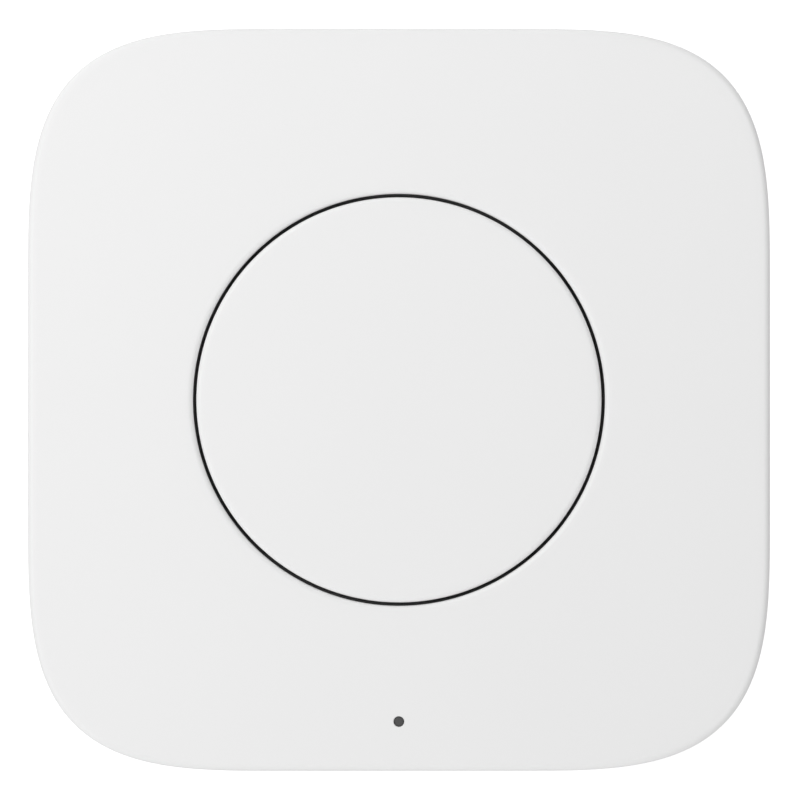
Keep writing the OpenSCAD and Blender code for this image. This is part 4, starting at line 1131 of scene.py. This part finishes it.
def foot_pad(x, y, long, wide):
    """One bare pad about a middle point on the front of the board."""
    flat = [(x + sx * long / 2, y + sy * wide / 2) for sx, sy in AROUND]
    return prism(flat, BOARD_TOP - COPPER_SUNK, BOARD_TOP + PAD_RISE)


foot_pads = []
for x, y, long, wide, _, along_x, end in capacitors + resistors + [emitter]:
    from_middle = (long - end + PAD_REACH) / 2
    pad_l, pad_w = end + PAD_REACH, wide + 2 * PAD_SIDE
    for way in (-1, 1):
        foot_pads.append(foot_pad(x + way * from_middle, y, pad_l, pad_w) if along_x
                         else foot_pad(x, y + way * from_middle, pad_w, pad_l))
foot_pads += [foot_pad(CASE_X + way * CASE_PAD_X, CASE_Y, *CASE_PAD) for way in (-1, 1)]
foot_pads += [foot_pad(sx * LEAD_X, sy * LEAD_Y, *LEAD_PAD) for sx, sy in FOUR_WAYS]
bare_pads = mesh_object("tinned_pads", together(*foot_pads))
dress(bare_pads, None, "housing", "nickel_spring", tin_plate)

# %% [markdown]
# The lanes of this board follow what it has to do. The chip feeds the antenna, the crystal and the
# small capacitors beside it. Four lanes run from the resistors in a bus round the left side to the
# test pads. The routes are given as the points where they turn, in millimetres from the middle.

# %% Routes round the chip and along the bus
BUS_STEP, BUS_TURN_Y = 0.5, -8
BUS_SPREAD = BUS_STEP * math.tan(math.radians(22.5))  # keeps the lanes apart where they turn
TEST_PAD_Y = -16.8

lanes = [lane([(-9.25, 9.9), (-9.25, 16.7)]), lane([(-5.1, 7.75), (-3.9, 7.75)]),
         lane([(-5.1, 9.25), (-3.9, 9.25)])]
vias = []
for i, y in enumerate(SIDE_ROW):
    x = -5.75 - 0.5 * i
    lanes.append(lane([(x, 9.9), (x, y - 0.4), (x + 0.4, y), (-2.7, y)]))
for number, i in enumerate(FROM_MIDDLE):
    jog = 0.1 * i
    x, y = CHIP_X + ROW_STEP * i, CHIP_Y + ROW_STEP * i
    lanes.append(lane([(x - jog, 4.1), (x - jog, 3.7), (x, 3.7 - abs(jog)), (x, 2.9)]))
    lanes.append(lane([(x, 2.3), (x, 1.3)]))
    lanes.append(lane([(-10.9, y - jog), (-11.6, y - jog), (-11.6 - abs(jog), y), (-12.9, y)]))
    bus_x, run_y, end_x = -15.2 - BUS_STEP * number, -13.5 - BUS_STEP * number, -4.0 + 2.0 * number
    turn_y = BUS_TURN_Y - BUS_SPREAD * number
    lanes.append(lane([(-13.5, y), (bus_x + 0.6, y), (bus_x, y - 0.6), (bus_x, turn_y),
                       (bus_x + turn_y - run_y, run_y), (end_x, run_y)]))
    lanes.append(lane([(end_x, run_y), (end_x, TEST_PAD_Y)], TEST_W, front=False))
    vias += [(x, 1.3), (end_x, run_y)]
print(len(lanes), "lanes round the chip and along the bus")

# %% [markdown]
# The switch, the light and the battery contacts have lanes of their own, wider where they carry the
# supply. A row of vias along the edge ties the two sides together, except below the antenna and at
# the snap hooks.

# %% Routes of the switch, the light and the supply
SUPPLY_W, SHUNT_W, RETURN_W = 0.6, 0.5, 0.8
EDGE_INSET, EDGE_STEP, ANTENNA_KEEP_Y = 3.1, 9, 14.0
HOOK_KEEP_X, HOOK_KEEP_Y = 18, 3.8

lanes += [lane(route) for route in (
    [(-5.1, 5.75), (1.9, 5.75), (4.4, 8.25), (4.4, 11.8)],
    [(-5.1, 6.25), (1.6, 6.25), (3.6, 8.25), (3.6, 11.0)],
    [(-4.2, LEAD_Y), (-4.6, 2.65), (-4.6, 4.75), (-5.1, 5.25)],
    [(4.2, LEAD_Y), (6.0, LEAD_Y), (7.6, 3.85), (7.6, 9.0)],
    [(-6.4, -LEAD_Y), (-4.2, -LEAD_Y)], [(6.4, -LEAD_Y), (4.2, -LEAD_Y)],
    [(0.6, LIGHT_Y), (2.1, LIGHT_Y), (3.2, LIGHT_Y + 1.1), (3.2, -18.2)],
    [(-0.6, LIGHT_Y), (-2.4, LIGHT_Y)],
    [(3.2, -17.7), (3.2, -13.2), (5.0, -11.4), (5.0, CASE_Y), (5.6, CASE_Y)],
    [(4.8, -18.2), (4.8, -19.3)], [(4.8, -17.7), (4.8, -15.2)])]
lanes.append(lane([(4.8, -15.2), (4.0, -16.0), (4.0, TEST_PAD_Y)], TEST_W, front=False))
lanes.append(lane([(8.4, CASE_Y), (9.3, CASE_Y), (9.3, -2.6)], SUPPLY_W))
lanes += [lane([(10.8, y), (12.4, y)], SHUNT_W) for y in LARGE_ROW]
lanes.append(lane([(-12.6, 1.5), (-12.6, 9.0), (-8.6, 13.0), (8.6, 13.0), (12.6, 9.0), (12.6, 1.5)],
                  RETURN_W, front=False))
vias += [(4.4, 11.8), (3.6, 11.0), (7.6, 9.0), (-6.4, -LEAD_Y), (6.4, -LEAD_Y), (-2.4, LIGHT_Y),
         (4.8, -19.3), (4.8, -15.2), (9.3, -2.6)] + [(12.4, y) for y in LARGE_ROW]
for x, y in outline(EDGE_INSET)[::EDGE_STEP]:
    at_hook = abs(abs(y) - HOOK_Y) < HOOK_KEEP_Y and abs(x) > HOOK_KEEP_X
    if y < ANTENNA_KEEP_Y and not at_hook:
        vias.append((x, y))
copper = mesh_object("masked_lanes", together(*lanes, *(via(x, y) for x, y in vias)))
dress(copper, None, "housing", "fr4_board", masked_copper)
print(len(lanes), "lanes and", len(vias), "vias")


# %% [markdown]
# ## Board screws
# Four thread-forming screws hold the board. A thread is one groove wound round the shank, so its
# radius depends on height and angle together: half a turn further round, the groove is half a pitch
# higher. A chain of rings with such radii needs no boolean for the thread, and only the cross
# recess in the domed head is cut.

# %% Screws with a wound thread
HEAD_Z, HEAD_R, SHANK_END = 5.1, 1.3, 9.8
CORE_R, CREST_RISE, CREST_HALF, PITCH = 0.5, 0.14, 0.3, 0.5
THREAD_ROWS, THREAD_STEPS, POINT_L, POINT_SHARE = 72, 32, 0.6, 0.5
HEAD = [(1.05, HEAD_Z), (1.2, HEAD_Z + 0.08), (HEAD_R, HEAD_Z + 0.25), (HEAD_R, BOARD_LOW - 0.02),
        (HEAD_R - 0.04, BOARD_LOW), (0.62, BOARD_LOW)]
CROSS_HALF_W = 0.18
CROSS_ARM = [(-0.8, 4.9), (0.8, 4.9), (0.8, 5.1), (0.45, 5.5), (-0.45, 5.5), (-0.8, 5.1)]


def thread_radius(z, share):
    """Radius of the shank at a height and a share of a turn."""
    taper = min(1.0, (SHANK_END - z) / POINT_L * (1 - POINT_SHARE) + POINT_SHARE)
    phase = ((z - BOARD_LOW) / PITCH - share) % 1.0
    crest = max(0.0, 1 - abs(phase - 0.5) / CREST_HALF)
    return (CORE_R + CREST_RISE * crest) * taper


def screw_shape(x, y):
    """Points and faces of one screw, its radii given row by row from the head to the point."""
    shares = [i / THREAD_STEPS for i in range(THREAD_STEPS)]
    rows = [([r] * THREAD_STEPS, z) for r, z in HEAD]
    for k in range(1, THREAD_ROWS + 1):
        z = BOARD_LOW + (SHANK_END - BOARD_LOW) * k / THREAD_ROWS
        rows.append(([thread_radius(z, share) for share in shares], z))
    return chain([[(x + r * math.cos(2 * math.pi * share), y + r * math.sin(2 * math.pi * share), z)
                   for r, share in zip(radii, shares)] for radii, z in rows])


screws = mesh_object("board_fixings", together(*(screw_shape(x, y) for x, y in SCREW_AT)))
for lie in (lambda u, w: (u, w), lambda u, w: (w, u)):
    arms = [prism(CROSS_ARM, -CROSS_HALF_W, CROSS_HALF_W,
                  lambda u, v, w: (x + lie(u, w)[0], y + lie(u, w)[1], v)) for x, y in SCREW_AT]
    carve(screws, together(*arms), "DIFFERENCE")
dress(screws, "board_screws", "housing", "stainless_steel", stainless_steel)

# %% [markdown]
# ## Snap dome
# The click comes from a thin steel dome under the stem. When the cap goes down, the dome flattens
# and its rim stays where it is, so it is the one piece here that changes shape with a joint. Both
# faces are arcs about one middle point, which keeps the steel equally thick.

# %% Snap dome that flattens
DOME_R, DOME_LOW, DOME_RISE, DOME_T, TRAVEL = 2.0, 7.35, 0.66, 0.1, 0.3
sphere_r = (DOME_R ** 2 + DOME_RISE ** 2) / (2 * DOME_RISE)
inner_r = sphere_r - DOME_T
sphere_z = DOME_LOW + DOME_RISE - sphere_r
rim_turn = math.degrees(math.acos(DOME_R / sphere_r))
in_turn = math.degrees(math.asin(sphere_r * math.sin(math.radians(rim_turn)) / inner_r))
dome_profile = bend(0, sphere_z, sphere_r, rim_turn, 90, 10)[:-1] + [(0, sphere_z + sphere_r)]
dome_profile += [(0, sphere_z + inner_r)] + bend(0, sphere_z, inner_r, 90, in_turn, 10)[1:]
dome = mesh_object("snap_dome", turned(dome_profile, 72))
dress(dome, "switch_dome", "housing", "stainless_steel", stainless_steel)
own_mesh(dome)


# %% [markdown]
# ## Floor and surroundings
# Catalogue photos are taken on a white sweep. The floor here is a pale plane whose own shading
# still shows the button's shadow, with a glow added only for what the camera, a gloss or a clear
# part sees. That makes the background white without putting more light on the object. From below,
# the floor is clear, so that it never hides the underside.

# %% White floor
GLOW, FLOOR_SHADE, FLOOR_HALF = 0.66, 0.8, 2.0


def seen_directly(tree):
    """1 for rays from the camera, a gloss or a clear part, and 0 for light that spreads."""
    path = add_node(tree, "ShaderNodeLightPath")
    gloss = add_node(tree, "ShaderNodeMath", {
        0: path.outputs["Is Camera Ray"], 1: path.outputs["Is Glossy Ray"]}, operation="MAXIMUM")
    direct = add_node(tree, "ShaderNodeMath", {
        0: gloss.outputs[0], 1: path.outputs["Is Transmission Ray"]}, operation="MAXIMUM")
    return direct.outputs[0]


floor_mesh = bpy.data.meshes.new("floor")
floor_mesh.from_pydata([(sx * FLOOR_HALF, sy * FLOOR_HALF, 0) for sx, sy in AROUND], [],
                       [(0, 1, 2, 3)])
floor = bpy.data.objects.new("floor", floor_mesh)
scene.collection.objects.link(floor)
paper = bpy.data.materials.new("white_paper_sweep")
paper.use_nodes = True
sheet = paper.node_tree
sheet.nodes.clear()
pale = add_node(sheet, "ShaderNodeBsdfDiffuse", {"Color": linear("CBCBCB")})
shaded = add_node(sheet, "ShaderNodeBsdfDiffuse", {
    "Color": (FLOOR_SHADE, FLOOR_SHADE, FLOOR_SHADE, 1)})
glow = add_node(sheet, "ShaderNodeEmission", {"Color": (1, 1, 1, 1), "Strength": GLOW})
white = add_node(sheet, "ShaderNodeAddShader", {0: shaded.outputs[0], 1: glow.outputs[0]})
either = add_node(sheet, "ShaderNodeMixShader", {
    0: seen_directly(sheet), 1: pale.outputs[0], 2: white.outputs[0]})
clear = add_node(sheet, "ShaderNodeBsdfTransparent")
facing = add_node(sheet, "ShaderNodeNewGeometry")
one_way = add_node(sheet, "ShaderNodeMixShader", {
    0: facing.outputs["Backfacing"], 1: either.outputs[0], 2: clear.outputs[0]})
add_node(sheet, "ShaderNodeOutputMaterial", {"Surface": one_way.outputs[0]})
floor_mesh.materials.append(paper)
print("floor glow", GLOW, "floor shade", FLOOR_SHADE)

# %% [markdown]
# ## Room light
# A white room lights the object evenly from all sides. It could be a picture of a studio, but a
# plain colour leaves no windows in the highlights. What the camera or a gloss sees of that room is
# plain white, and the light that it spreads is less than half as strong, so that the lamps still
# shape the object.

# %% Even light from a white room
ROOM = 0.47
room = bpy.data.worlds.new("bright_room")
scene.world = room
room.use_nodes = True
air = room.node_tree
air.nodes.clear()
even = add_node(air, "ShaderNodeBackground", {"Color": (1, 1, 1, 1), "Strength": ROOM})
backdrop = add_node(air, "ShaderNodeBackground", {"Color": (1, 1, 1, 1), "Strength": 1.0})
mixed = add_node(air, "ShaderNodeMixShader", {
    0: seen_directly(air), 1: even.outputs[0], 2: backdrop.outputs[0]})
add_node(air, "ShaderNodeOutputWorld", {"Surface": mixed.outputs[0]})
print("room light", ROOM)

# %% [markdown]
# ## Lamps
# In the photo the face fades by a few levels from the upper left to the lower right. The left, top
# and bottom edges are about as bright as the face, and only the right edges are clearly darker.
# That is a soft lamp high on the left, two low soft lamps above and below the picture, and nothing
# on the right. Wide discs are used, because a point of light would draw a hard shadow. A lamp's
# power grows with the square of its distance, so each keeps the share of light on the face that the
# table gives.

# %% Three soft lamps
LAMPS = {  # azimuth and elevation in degrees, distance in metres, share of the light on the face
    "key_lamp": (166, 48, 0.27, 0.51),
    "upper_lamp": (78, 24, 0.225, 0.25),
    "lower_lamp": (282, 20, 0.529, 0.335)}
LAMP_WIDTH = 0.7  # of its distance
face_middle = Vector((0, 0, FACE_Z * MM))

for lamp_name, (azimuth, elevation, reach, share) in LAMPS.items():
    lamp_data = bpy.data.lights.new(lamp_name, "AREA")
    lamp_data.shape, lamp_data.size = "DISK", LAMP_WIDTH * reach
    lamp_data.energy = share * (math.pi * reach) ** 2
    lamp = bpy.data.objects.new(lamp_name, lamp_data)
    turn, rise = math.radians(azimuth), math.radians(elevation)
    level_reach = reach * math.cos(rise)
    away = Vector((level_reach * math.cos(turn), level_reach * math.sin(turn),
                   reach * math.sin(rise)))
    lamp.location = face_middle + away
    lamp.rotation_euler = (-away).to_track_quat("-Z", "Y").to_euler()
    lamp.visible_camera = False
    scene.collection.objects.link(lamp)
    print(lamp_name, round(lamp_data.energy, 3), "W")

# %% [markdown]
# ## Camera
# The photo looks straight at the front face. A long lens keeps the sides of the body out of sight,
# as they are in the photo, and the distance makes the picture 48.5 mm wide at the face. The camera
# stands a hair beside the middle, because the button does in the photo too.

# %% Camera straight above the face
LENS_MM, SENSOR_MM, FRAME_MM = 1000.0, 36.0, 48.49
ASIDE_X, ASIDE_Y = 0.066, -0.008
CLIP_NEAR_M, CLIP_FAR_M = 0.01, 10.0
camera_data = bpy.data.cameras.new("camera")
camera_data.lens, camera_data.sensor_width = LENS_MM, SENSOR_MM
camera_data.clip_start, camera_data.clip_end = CLIP_NEAR_M, CLIP_FAR_M
camera = bpy.data.objects.new("camera", camera_data)
distance = FRAME_MM * LENS_MM / SENSOR_MM * MM
camera.location = (ASIDE_X * MM, ASIDE_Y * MM, FACE_Z * MM + distance)
scene.collection.objects.link(camera)
scene.camera = camera
print("camera distance", round(distance, 4), "m")
